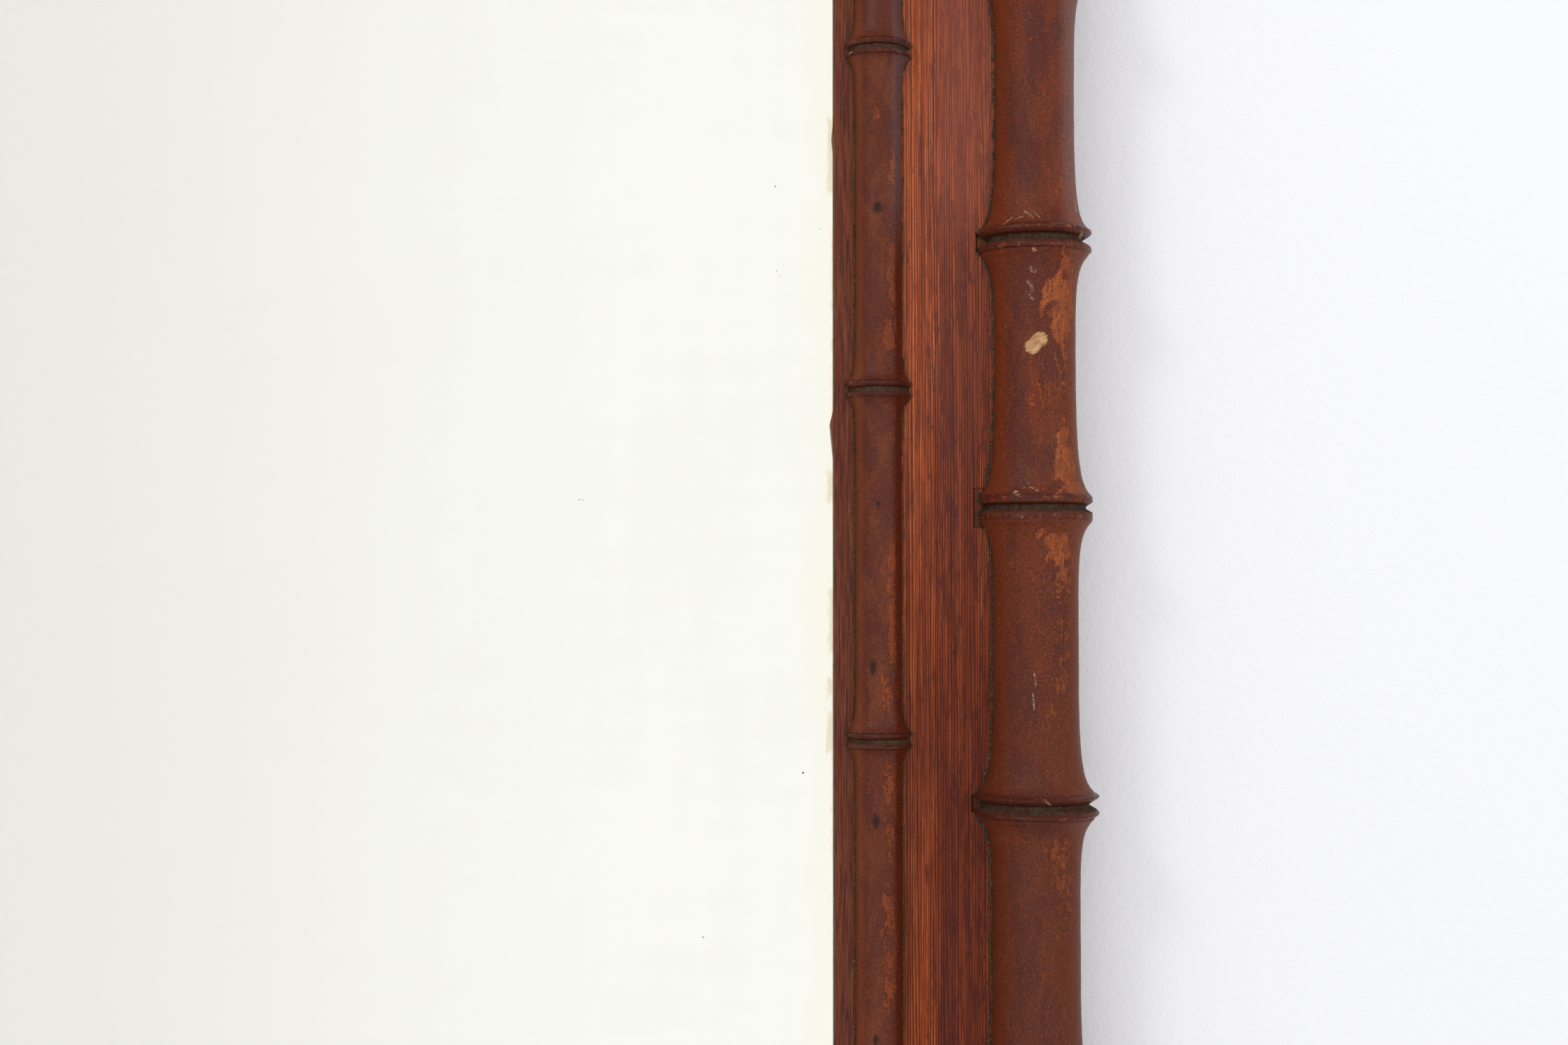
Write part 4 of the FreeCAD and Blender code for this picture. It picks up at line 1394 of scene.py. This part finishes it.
@dataclass
class Bead:
    """A turned half-round bead on one board, mitred at the corners."""

    side: Side
    rubs: Sequence[Patch] = ()
    pits: Sequence[Patch] = ()
    round_points: int = 57
    coarse: float = 3.0
    fine: float = 0.34
    mitre_reach: float = 20.0
    mitre_gap: float = 0.1

    @property
    def joints(self) -> Table:
        """Places and girths of the side's joints."""
        return UPRIGHT_BEAD_JOINTS if self.side.upright else LEVEL_BEAD_JOINTS

    def radius(self, places: np.ndarray) -> np.ndarray:
        """Radius at places along the world's axis."""
        return BEAD_OUTLINE.radius(places, self.joints)

    def build(self) -> bpy.types.Object:
        """Make the bead and its masks.

        Returns:
            The bead.
        """
        end = SIZES.half_sight(self.side) + SIZES.bead_inset - self.mitre_gap
        reach = end - self.mitre_reach
        places = BEAD_OUTLINE.stations(-reach, reach, self.joints, self.coarse, self.fine,
                                       [pit.place for pit in self.pits])
        tail = reach + np.linspace(2, self.mitre_reach, 7)
        places = np.concatenate([-tail[::-1], places, tail])
        angles = np.radians(np.linspace(0, 180, self.round_points))
        grid_place, angle = np.meshgrid(places, angles, indexing="ij")
        radius = self.radius(places)[:, None] * np.ones_like(angle)
        seed = self.side.seed + 40
        arc = angle * BEAD_OUTLINE.waist
        radius -= 0.08 + 0.07 * ripple(arc, grid_place * 0.2, seed, 24)
        out, depth = radius * np.cos(angle), -radius * np.sin(angle)
        pit = np.zeros_like(radius)
        for spot in self.pits:
            near = np.hypot((grid_place - spot.place) / spot.half_height,
                            (out - spot.aside) / spot.half_width)
            pit = np.maximum(pit, 0.72 * np.clip(1.2 - 0.6 * near, 0, 1))
            depth = depth + spot.strength * np.exp(-((near * 1.7) ** 2))
        mitre = np.clip((np.abs(grid_place) - reach) / self.mitre_reach, 0, 1)
        grid_along = np.sign(grid_place) * (np.abs(grid_place) + out * mitre)
        rings = SIZES.place(self.side, SIZES.bead_inset + out, depth - SIZES.board_thickness,
                            grid_along * self.side.sign)
        piece = MeshMaker.loft(f"{self.side.label}_turned_bead", rings)

        ragged = ripple(out, grid_place, seed + 3, 5, 12)
        rub = 0.10 + 0.12 * ripple(out, grid_place * 0.4, seed + 4, 18)
        for patch in self.rubs:
            rub = np.maximum(rub, patch.cover(grid_place, out, ragged))
        foot = np.clip(1 - (radius * np.sin(angle)) / 1.1, 0, 1)
        groove = BEAD_OUTLINE.in_groove(grid_place, self.joints, self.side.upright)
        line = BEAD_OUTLINE.in_line(grid_place, self.joints, self.side.upright)
        # The pit mask holds the dark pits and painted shade in the groove bottoms and along the lines
        # beside the lips.
        MeshMaker.paint(
            piece, rim=BEAD_OUTLINE.on_rim(grid_place, self.joints), rub=rub,
            bare=np.zeros_like(rub), grime=np.maximum(groove, foot * 0.9),
            pit=np.maximum(pit, line))
        return piece


# Boards


@dataclass
class Board:
    """A flat pine board with its rebate, notches, holes and worn edges.

    The lap is the notch behind an upright cane's middle joint, and a gap is the smaller one
    behind each other joint. The two burrs stand out past the right board's sight edge.
    """

    side: Side
    cane: Cane
    bead: Bead
    lap_half: float = 7.7
    lap_depth: float = 0.8
    lap_ease: float = 0.7
    gap_half: float = 3.4
    gap_depth: float = 1.4
    gap_ease: float = 0.3
    nail_inset: float = 8.0
    nail_half: float = 3.55
    nail_depth: float = 2.4
    upright_nails: tuple[float, ...] = (-150.7, 69.6, 270.6)
    level_nails: tuple[float, ...] = (-66.48, 66.48)
    peg_inset: float = 15.0
    peg_place: float = 39.0
    peg_half: float = 3.05
    peg_depth: float = 1.0
    crisp: float = 0.03
    burr_reach: float = 1.5

    def half_length(self) -> float:
        """Half the board's length: stiles run past the rails."""
        return SIZES.half_outer(self.side) if self.side.upright else SIZES.half_sight(self.side)

    def holes(self) -> list[tuple[float, float, float, float]]:
        """Square nail and peg holes of the back.

        Returns:
            Distance out, place along the world's axis, half width and depth of each hole.
        """
        places = self.upright_nails if self.side.upright else self.level_nails
        nails = [(SIZES.board_width - self.nail_inset, place, self.nail_half, self.nail_depth)
                 for place in places]
        if not self.side.upright:
            return nails
        far = SIZES.half_sight(self.side) + self.peg_place
        return nails + [(self.peg_inset, way * far, self.peg_half, self.peg_depth)
                        for way in (1, -1)]

    def marks(self) -> tuple[np.ndarray, np.ndarray, np.ndarray]:
        """Lay out the grid lines, close together where the shape is fine.

        Returns:
            Places across the front, across the back and along the board.
        """
        half, width, rebate = self.half_length(), SIZES.board_width, SIZES.rebate_width
        front = np.concatenate([
            [0, 0.12, 0.3, 0.55, 0.9, 1.4, 2, 2.8], np.arange(3.5, 31, 0.8),
            np.arange(31, 50, 1.6), np.arange(50, 63, 0.55), [64, 68, 72, width - 0.6, width]])
        back = [0, 0.5, 6, rebate - 0.02, rebate + 0.02, 20, 26, 40, 50, 60, width - 0.6, width]
        along = [np.arange(-half, half, 5.0), [-half, half]]
        for place, _ in self.cane.joints:
            along.append(np.arange(place - 13, place + 13, 0.8))
            along.append([place + way * (high + nudge) for way in (-1, 1)
                          for high in (self.gap_half, self.lap_half)
                          for nudge in (-0.3, -0.04, 0.04)])
        for place, _ in self.bead.joints:
            along.append(np.arange(place - 8, place + 8, 0.8))
        nudges = (-self.crisp, self.crisp)
        for out, place, size, _ in self.holes():
            for shift in [way * size + nudge for way in (-1, 1) for nudge in nudges]:
                back.append(out + shift)
                along.append([place + shift])
        if self.side.upright:
            stop = SIZES.half_sight(self.side) + SIZES.rebate_width
            along.append([way * stop + nudge for way in (-1, 1) for nudge in nudges])
            along += [np.arange(36, 60, 0.7), np.arange(159, 171, 0.7)]
        every = np.unique(np.round(np.concatenate(along), 2))
        every = every[(every >= -half) & (every <= half)]
        return front, np.unique(np.round(back, 2)), every

    def build(self) -> bpy.types.Object:
        """Make the board and its mask of dirt.

        Returns:
            The board.
        """
        half = self.half_length()
        front, back, along = self.marks()
        u, v = np.meshgrid(front, along, indexing="xy")
        face = np.full(u.shape, SIZES.board_thickness)
        seed = self.side.seed + 80
        worn = 0.75 + 0.3 * ripple(v, u * 0, seed, 60)
        face -= worn - np.sqrt(np.clip(worn**2 - np.clip(worn - u, 0, None) ** 2, 0, None))
        face -= 0.02 + 0.02 * ripple(u, v * 0.2, seed + 1, 30)
        face -= self.notch(u, v)
        burr = np.where(u < self.burr_reach,
                        -self.splinter(v) * np.clip(self.burr_reach - u, 0, 1), 0.0)

        ub, vb = np.meshgrid(back[::-1], along, indexing="xy")
        rear = np.zeros(ub.shape)
        rebate = ub < SIZES.rebate_width
        if self.side.upright:
            rebate &= np.abs(vb) < SIZES.half_sight(self.side) + SIZES.rebate_width
        rear[rebate] = SIZES.board_thickness - SIZES.lip_thickness
        for out, place, size, deep in self.holes():
            rear[(np.abs(ub - out) < size) & (np.abs(vb - place) < size)] = deep
        outs = np.concatenate([u + burr, ub], axis=1)
        depths = np.concatenate([-face, -rear], axis=1)
        runs = np.concatenate([v, vb], axis=1)
        rings = SIZES.place(self.side, outs, depths, runs * self.side.sign)
        word = "stile" if self.side.upright else "rail"
        piece = MeshMaker.loft(f"{self.side.label}_{word}_board", rings, sharp=28)

        cane_edge = SIZES.board_width - self.cane.radius(v)
        bead_edge = np.abs(u - SIZES.bead_inset) - self.bead.radius(v)
        inside = np.abs(v) < SIZES.half_sight(self.side) + SIZES.bead_inset
        ragged = 0.35 * ripple(u, v, seed + 4, 6)
        grime = np.clip(1.25 - np.clip(cane_edge - u, 0, None) / 1.1 + ragged, 0, 1)
        near_bead = np.clip(1.05 - np.clip(bead_edge, 0, None) / 0.7 + ragged, 0, 1) * inside
        grime = np.maximum(grime, near_bead)
        grime = np.maximum(grime, (self.notch(u, v) > 0.3) * (0.22 + 0.45 * ragged))
        grime = np.maximum(grime, np.clip(0.9 - np.abs(np.abs(v) - half) / 0.5, 0, 1))
        MeshMaker.paint(piece, grime=np.concatenate([grime, np.zeros(ub.shape)], axis=1))
        return piece

    def notch(self, u: np.ndarray, v: np.ndarray) -> np.ndarray:
        """Depth of the notches behind the cane's joints: a lap at the middle, gaps elsewhere.

        Args:
            u: Distance out from the sight edge.
            v: Place along the world's axis.

        Returns:
            The depth at each point.
        """
        depth = np.zeros(u.shape)
        middle = len(self.cane.joints) // 2
        for number, (place, girth) in enumerate(self.cane.joints):
            lap = self.side.upright and number == middle
            ease = self.lap_ease if lap else self.gap_ease
            high = self.lap_half if lap else self.gap_half
            reach = SIZES.board_width - CANE_OUTLINE.tip * girth - ease
            cut = (u > reach) & (np.abs(v - place) < high)
            depth[cut] = self.lap_depth if lap else self.gap_depth
        return depth

    def splinter(self, v: np.ndarray) -> np.ndarray:
        """Reach of the two burrs on the right stile's sight edge.

        Args:
            v: Place along the world's axis.

        Returns:
            Distance past the edge.
        """
        if self.side is not Side.RIGHT:
            return np.zeros(v.shape)
        long = np.clip(np.minimum((v - 38.5) / 13, (57.5 - v) / 5.5), 0, 1)
        short = np.clip(1 - np.abs(v - 165) / 4.5, 0, 1)
        return 1.25 * long + 0.5 * np.sqrt(short)


# The whole mirror


@dataclass
class MirrorFrame:
    """The four sides of the frame, each with a board, a cane and a bead."""

    right_rubs: Sequence[Patch] = (
        Patch(96, 9.5, 14.5, 6.0, 1.0), Patch(98, 4.0, 6.0, 3.5, 0.8), Patch(81, 9, 8, 4.5, 0.62),
        Patch(84, -12.5, 6, 0.9, 0.8), Patch(66, 9, 9, 4.5, 0.5), Patch(34, 10.5, 8.5, 5.5, 0.9),
        Patch(45, 9.5, 8, 3.5, 0.66), Patch(27, 12, 4.0, 6, 0.85), Patch(47, 2, 5, 3.5, 0.42),
        Patch(153, -4.2, 1.3, 1.3, 0.8), Patch(180, 12.5, 22, 1.6, 0.55),
        Patch(140, -13.5, 7, 1.2, 0.6), Patch(120, -13.5, 9, 1.2, 0.5), Patch(142, 7, 9, 3, 0.42),
        Patch(6, 6, 3.5, 9, 0.8), Patch(-2, 8, 6, 5, 0.85), Patch(-14, 9, 9, 4.5, 0.6),
        Patch(-28, 9, 12, 5, 0.5), Patch(-48, 6, 10, 6, 0.5), Patch(-44, 9, 9, 4, 0.55),
        Patch(-66, 6, 14, 7, 0.45), Patch(-112, 7, 10, 6, 0.6),
        Patch(-126, 9, 14, 5, 0.55), Patch(-160, 8, 22, 6, 0.42), Patch(170, 2, 14, 5, 0.36),
        Patch(60, 0, 8, 7, 0.44), Patch(-90, -14, 20, 1.5, 0.4),
    )
    right_scars: Sequence[Patch] = (
        Patch(121.6, 16.5, 1.4, 1.0, 0.9),
        Patch(114.8, -2, 0.9, 1.6, 0.7), Patch(135.5, 14.5, 2.2, 0.7, 0.8),
        Patch(23.5, -9, 1.3, 2.6, 0.6), Patch(15.2, -8, 1.2, 3.0, 0.5),
    )
    right_strokes: tuple[Stroke, ...] = (
        Stroke((-13.5, 125.2), (-10.3, 127.6), 0.4), Stroke((-5.8, 129.9), (-2.8, 127.3), 0.4),
        Stroke((-2.8, 129.9), (-0.4, 127.2), 0.4), Stroke((-9.6, 126.8), (-6.4, 127.8), 0.3, 0.5),
        Stroke((-2.5, -43.5), (-1.8, -49.0), 0.45, 0.7), Stroke((-2.9, -51.5), (-2.5, -57.5), 0.45, 0.8),
        Stroke((14.6, 134.0), (14.9, 131.0), 0.5, 0.8), Stroke((-4.2, 26.0), (-1.2, 24.4), 0.4, 0.7),
        Stroke((-6.8, 25.3), (-4.6, 27.4), 0.35, 0.6), Stroke((0.8, -91.0), (2.6, -92.3), 0.6, 0.8),
        Stroke((-20.2, 9.0), (-17.6, 1.0), 0.35, 0.6), Stroke((-17.6, 1.0), (-16.4, -14.0), 0.3, 0.5),
        Stroke((-3.4, 108.6), (-2.9, 107.2), 0.8, 0.5), Stroke((-2.2, 106.8), (-1.2, 107.6), 0.6, 0.4),
        Stroke((-4.4, 103.4), (-3.4, 102.4), 0.9, 0.5), Stroke((-3.0, 101.4), (-2.6, 99.8), 0.9, 0.45),
        Stroke((-4.7, 99.2), (-3.9, 98.6), 0.7, 0.5), Stroke((-3.0, 97.2), (-2.2, 96.6), 0.8, 0.4),
    )
    right_gouges: tuple[Stroke, ...] = (Stroke((-2.7, 78.9), (0.3, 81.8), 4.4, 1.0),)
    right_bead_rubs: Sequence[Patch] = (
        Patch(148, 5.0, 7, 1.5, 0.8), Patch(108, 4.8, 17, 1.5, 0.85), Patch(83, 4.0, 7, 2.6, 0.85),
        Patch(-5, 4.4, 9, 1.6, 0.95), Patch(-27, 4.6, 14, 1.7, 0.9), Patch(-52, 3.0, 8, 2.4, 0.75),
        Patch(-86, 3.4, 9, 2.2, 0.7), Patch(-108, 3.8, 9, 1.8, 0.66), Patch(-135, 3.0, 9, 2.6, 0.76),
        Patch(-160, 3.2, 12, 2.4, 0.72), Patch(170, -1, 3, 1.2, 0.7),
    )
    right_bead_pits: Sequence[Patch] = (
        Patch(132.5, -0.7, 2.9, 1.7, 0.45), Patch(-42.0, -2.6, 3.6, 1.7, 0.45),
        Patch(-100.3, -1.4, 3.4, 1.6, 0.4), Patch(-182.2, -1.6, 2.8, 1.2, 0.3),
        Patch(-188.0, -2.0, 2.8, 1.2, 0.3), Patch(-70.8, 3.6, 1.2, 2.2, 0.2),
        Patch(20.0, -0.6, 1.2, 0.8, 0.1),
    )
    grain_shift: float = 431.0
    bead_shift: float = 90.0

    def chance_rubs(self, side: Side, length: float, width: float) -> list[Patch]:
        """Rubbed patches of a side that the picture doesn't show.

        Args:
            side: The side.
            length: Half the length that may be rubbed.
            width: Half the width that may be rubbed.

        Returns:
            The patches.
        """
        dice = np.random.default_rng(side.seed)
        return [
            Patch(dice.uniform(-length, length), dice.uniform(-0.5, 0.8) * width,
                  dice.uniform(6, 16), dice.uniform(0.3, 0.6) * width, dice.uniform(0.4, 0.95))
            for _ in range(int(length / 14))
        ]

    def build(self) -> list[bpy.types.Object]:
        """Make and dress the twelve wooden pieces.

        Returns:
            The pieces.
        """
        made = []
        for number, side in enumerate(Side):
            seen = side is Side.RIGHT
            half = SIZES.half_outer(side)
            cane = Cane(side, rubs=self.right_rubs if seen else self.chance_rubs(side, half, 12),
                        scars=self.right_scars if seen else ())
            bead = Bead(side,
                        rubs=self.right_bead_rubs if seen else self.chance_rubs(side, half, 6),
                        pits=self.right_bead_pits if seen else self.chance_pins(side))
            board = Board(side, cane, bead)
            word = "stile" if side.upright else "rail"
            shift = self.grain_shift * number
            pine = StainedPine(shift=shift)
            cane_stain = RubbedStain(
                SIZES.board_width, CANE_OUTLINE.waist, shift=shift,
                strokes=self.right_strokes if seen else (),
                gouges=self.right_gouges if seen else ())
            bead_stain = BeadStain(
                SIZES.bead_inset, BEAD_OUTLINE.waist, shift=shift + self.bead_shift)
            for maker, finish, kind, node, slot in (
                    (board, pine, "board", word, "board_pine"),
                    (cane, cane_stain, "cane", "cane", "cane_wood"),
                    (bead, bead_stain, "bead", "bead", "bead_wood")):
                piece = maker.build()
                material = finish.build(f"{side.label} {kind}", side)
                MeshMaker.dress(piece, material, f"{side.label}_{node}", slot)
                made.append(piece)
        return made

    def chance_pins(self, side: Side) -> list[Patch]:
        """Filled pin holes of a bead that the picture doesn't show.

        Args:
            side: The side.

        Returns:
            The pin holes.
        """
        dice = np.random.default_rng(side.seed + 3)
        reach = SIZES.half_sight(side) - 20
        return [Patch(place + dice.uniform(-8, 8), dice.uniform(-1.5, 1.5), 1.4, 1.1, 0.4)
                for place in np.linspace(-reach, reach, 5)]


@dataclass
class MirrorPlate:
    """The glass and its silvering, a hair apart, with softly ground edges."""

    half_wide: float = 210.5
    half_high: float = 263.5
    front: float = -21.0
    thickness: float = 4.0
    silver: float = 0.4
    hair: float = 0.02
    ground: float = 0.5

    def slab(self, name: str, front: float, back: float, ease: float) -> bpy.types.Object:
        """Make a plate with eased edges.

        Args:
            name: Name of the piece.
            front: Depth of its front face.
            back: Depth of its back face.
            ease: Width of the ease at each edge.

        Returns:
            The plate.
        """
        rows = []
        for depth, inward in ((front, ease), (front + ease / 2, 0.1), (back - ease / 2, 0.1),
                              (back, ease)):
            wide, high = self.half_wide - inward, self.half_high - inward
            rows.append([(-wide, depth, -high), (wide, depth, -high), (wide, depth, high),
                         (-wide, depth, high)])
        return MeshMaker.loft(name, np.array(rows) * MM, sharp=20)

    def build(self) -> list[bpy.types.Object]:
        """Make and dress the glass and the silvering.

        Returns:
            The two pieces.
        """
        back = self.front + self.thickness
        glass = self.slab("glass_plate", self.front + self.hair, back - self.hair, self.ground)
        sheet = self.slab("silver_sheet", back + self.hair, back + self.silver - self.hair, 0.1)
        MeshMaker.dress(glass, ClearPlate().build("mirror plate"), "mirror_glass", "glass")
        MeshMaker.dress(sheet, OldSilver().build("silvering"), "silvering", "silvering")
        return [glass, sheet]


class CadDressing:
    """Gives the CAD pieces that stay as they are their finish."""

    def apply(self, nodes: dict[str, bpy.types.Object]) -> None:
        """Dress every kept CAD node.

        Args:
            nodes: The CAD nodes by name.
        """
        planks = {f"back_plank_{number + 1}": BarePine(shift=130.0 * number).build(
            f"plank {number}") for number in range(3)}
        block = BarePine(light=stain(196, 158, 108), dark=stain(140, 98, 58)).build("glue block")
        peg = BarePine(light=stain(150, 112, 74), dark=stain(92, 62, 40), ring=2.0,
                       shift=40.0).build("peg")
        iron = OldMetal(shine=stain(70, 60, 54), tarnish=stain(84, 52, 36), spots=stain(38, 30, 28),
                        metallic=0.6, polish=0.5).build("nail iron")
        brass = OldMetal().build("hanger brass")
        chosen = {**planks, "tenon_pegs": peg, "hanger_strap": brass, "hanger_ring": brass}
        for name, node in nodes.items():
            if name.endswith("_glue_blocks"):
                material = block
            elif name.endswith("nails"):
                material = iron
            elif name in chosen:
                material = chosen[name]
            else:
                continue
            node.data.materials.clear()
            node.data.materials.append(material)


# Stage, light and camera


@dataclass(frozen=True)
class OneSidedPaint:
    """Plain paint that only the camera sees, and only from its front."""

    colour: Colour = stain(250, 250, 254)
    grain: float = 0.0

    def build(self, name: str) -> bpy.types.Material:
        """Make the material.

        Args:
            name: Name of the material.

        Returns:
            The material.
        """
        f = Finish(name)
        inputs = {"Color": self.colour}
        if self.grain:
            rough = f.noise(f.point(), 1.2, 3.0, 0.6) + f.noise(f.point(), 4.0, 2.0)
            inputs["Normal"] = f.relief(rough, self.grain)
        front = 1.0 - f.read("ShaderNodeNewGeometry", "Backfacing")
        seen = f.read("ShaderNodeLightPath", "Is Camera Ray") * front
        clear = f.read("ShaderNodeBsdfTransparent")
        paint = f.read("ShaderNodeBsdfDiffuse", 0, inputs)
        return f.close(f.read("ShaderNodeMixShader", 0, {0: seen, 1: clear, 2: paint}))


@dataclass(frozen=True)
class Lamp:
    """A soft square lamp: places and size in metres, power in watts."""

    name: str
    place: Place
    aim: Place
    size: float
    power: float

    def hang(self) -> None:
        """Put the lamp in its place, facing its aim."""
        data = bpy.data.lights.new(self.name, "AREA")
        data.shape, data.size, data.energy = "SQUARE", self.size, self.power
        lamp = bpy.data.objects.new(self.name, data)
        lamp.location = self.place
        facing = Vector(self.aim) - Vector(self.place)
        lamp.rotation_euler = facing.to_track_quat("-Z", "Y").to_euler()
        bpy.context.scene.collection.objects.link(lamp)


@dataclass
class Studio:
    """Wall, floor, lights and camera, with places and sizes in metres.

    The surroundings are brightest behind the camera, and glow_from and glow_to are the cosines
    between which they brighten from dim to bright.
    """

    wall_y: float = 0.0008
    wall_top: float = 3.0
    floor_z: float = -0.80
    half_room: float = 4.0
    glow_from: float = 0.35
    glow_to: float = 0.90
    dim: float = 0.56
    bright: float = 1.08
    glow: Colour = (0.985, 0.99, 1.0)
    lamps: tuple[Lamp, ...] = (
        Lamp("key_softbox", (-1.0, -1.5, 1.3), (0.1, 0.0, 0.0), 0.45, 8.0),
        Lamp("right_softbox", (1.9, -1.2, 0.5), (0.2, 0.0, 0.0), 0.8, 4.0),
    )
    view_x: float = 0.1808
    view_z: float = -0.005
    aim_z: float = 0.013
    distance: float = 0.82
    lens: float = 49.2
    sensor: float = 36.0

    def sheet(self, name: str, corners: Sequence[Place], material: bpy.types.Material) -> None:
        """Make one large flat sheet of the stage.

        Args:
            name: Name of the sheet.
            corners: Its four corners.
            material: Its paint.
        """
        mesh = bpy.data.meshes.new(name)
        mesh.from_pydata(list(corners), [], [(0, 1, 2, 3)])
        mesh.materials.append(material)
        sheet = bpy.data.objects.new(name, mesh)
        bpy.context.scene.collection.objects.link(sheet)
        sheet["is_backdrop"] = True

    def backdrop(self) -> None:
        """Make the wall and the floor."""
        wall = OneSidedPaint(grain=0.22).build("wall paint")
        floor = OneSidedPaint(colour=stain(236, 235, 232)).build("floor paint")
        y, z, top, far = self.wall_y, self.floor_z, self.wall_top, self.half_room
        self.sheet("stage_wall", [(-far, y, z), (far, y, z), (far, y, top), (-far, y, top)], wall)
        self.sheet("stage_floor", [(-far, -far, z), (far, -far, z), (far, y, z), (-far, y, z)],
                   floor)

    def light(self) -> None:
        """Set the soft surroundings and the lamps."""
        world = bpy.data.worlds.new("room")
        bpy.context.scene.world = world
        world.use_nodes = True
        tree = world.node_tree
        tree.nodes.clear()
        where = tree.nodes.new("ShaderNodeTexCoord")
        face = tree.nodes.new("ShaderNodeVectorMath")
        face.operation = "DOT_PRODUCT"
        face.inputs[1].default_value = (0.0, -1.0, 0.0)
        lobe = tree.nodes.new("ShaderNodeMapRange")
        lobe.interpolation_type = "SMOOTHSTEP"
        for name, value in (("From Min", self.glow_from), ("From Max", self.glow_to),
                            ("To Min", self.dim), ("To Max", self.bright)):
            lobe.inputs[name].default_value = value
        back = tree.nodes.new("ShaderNodeBackground")
        back.inputs["Color"].default_value = (*self.glow, 1.0)
        output = tree.nodes.new("ShaderNodeOutputWorld")
        tree.links.new(where.outputs["Generated"], face.inputs[0])
        tree.links.new(face.outputs["Value"], lobe.inputs["Value"])
        tree.links.new(lobe.outputs[0], back.inputs["Strength"])
        tree.links.new(back.outputs[0], output.inputs["Surface"])
        for lamp in self.lamps:
            lamp.hang()

    def camera(self) -> None:
        """Set the camera at the photograph's angle."""
        data = bpy.data.cameras.new("camera")
        data.sensor_width, data.lens = self.sensor, self.lens
        data.clip_start, data.clip_end = 0.01, 50
        camera = bpy.data.objects.new("camera", data)
        front = -(SIZES.board_thickness + SIZES.back_gap) * MM
        camera.location = (self.view_x, front - self.distance, self.view_z)
        aim = Vector((self.view_x, front, self.aim_z)) - camera.location
        camera.rotation_euler = aim.to_track_quat("-Z", "Y").to_euler()
        bpy.context.scene.collection.objects.link(camera)
        bpy.context.scene.camera = camera
        settings = bpy.context.scene.view_settings
        settings.view_transform = "Standard"
        settings.look = "None"

    def build(self) -> None:
        """Set the whole stage."""
        self.backdrop()
        self.light()
        self.camera()


def corners() -> list[list[float]]:
    """Lowest and highest corner of the shown object, as plain lists."""
    return [list(corner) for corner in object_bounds()]


def main() -> None:
    """Build the mirror's looks round the CAD frame."""
    logging.basicConfig(level=logging.INFO, format="%(message)s")
    log = logging.getLogger("mirror")
    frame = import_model()
    for piece in [*MirrorFrame().build(), *MirrorPlate().build()]:
        log.info("%s: %d faces", piece.name, len(piece.data.polygons))
    CadDressing().apply(frame["nodes"])
    Studio().build()


if __name__ == "__main__":
    main()
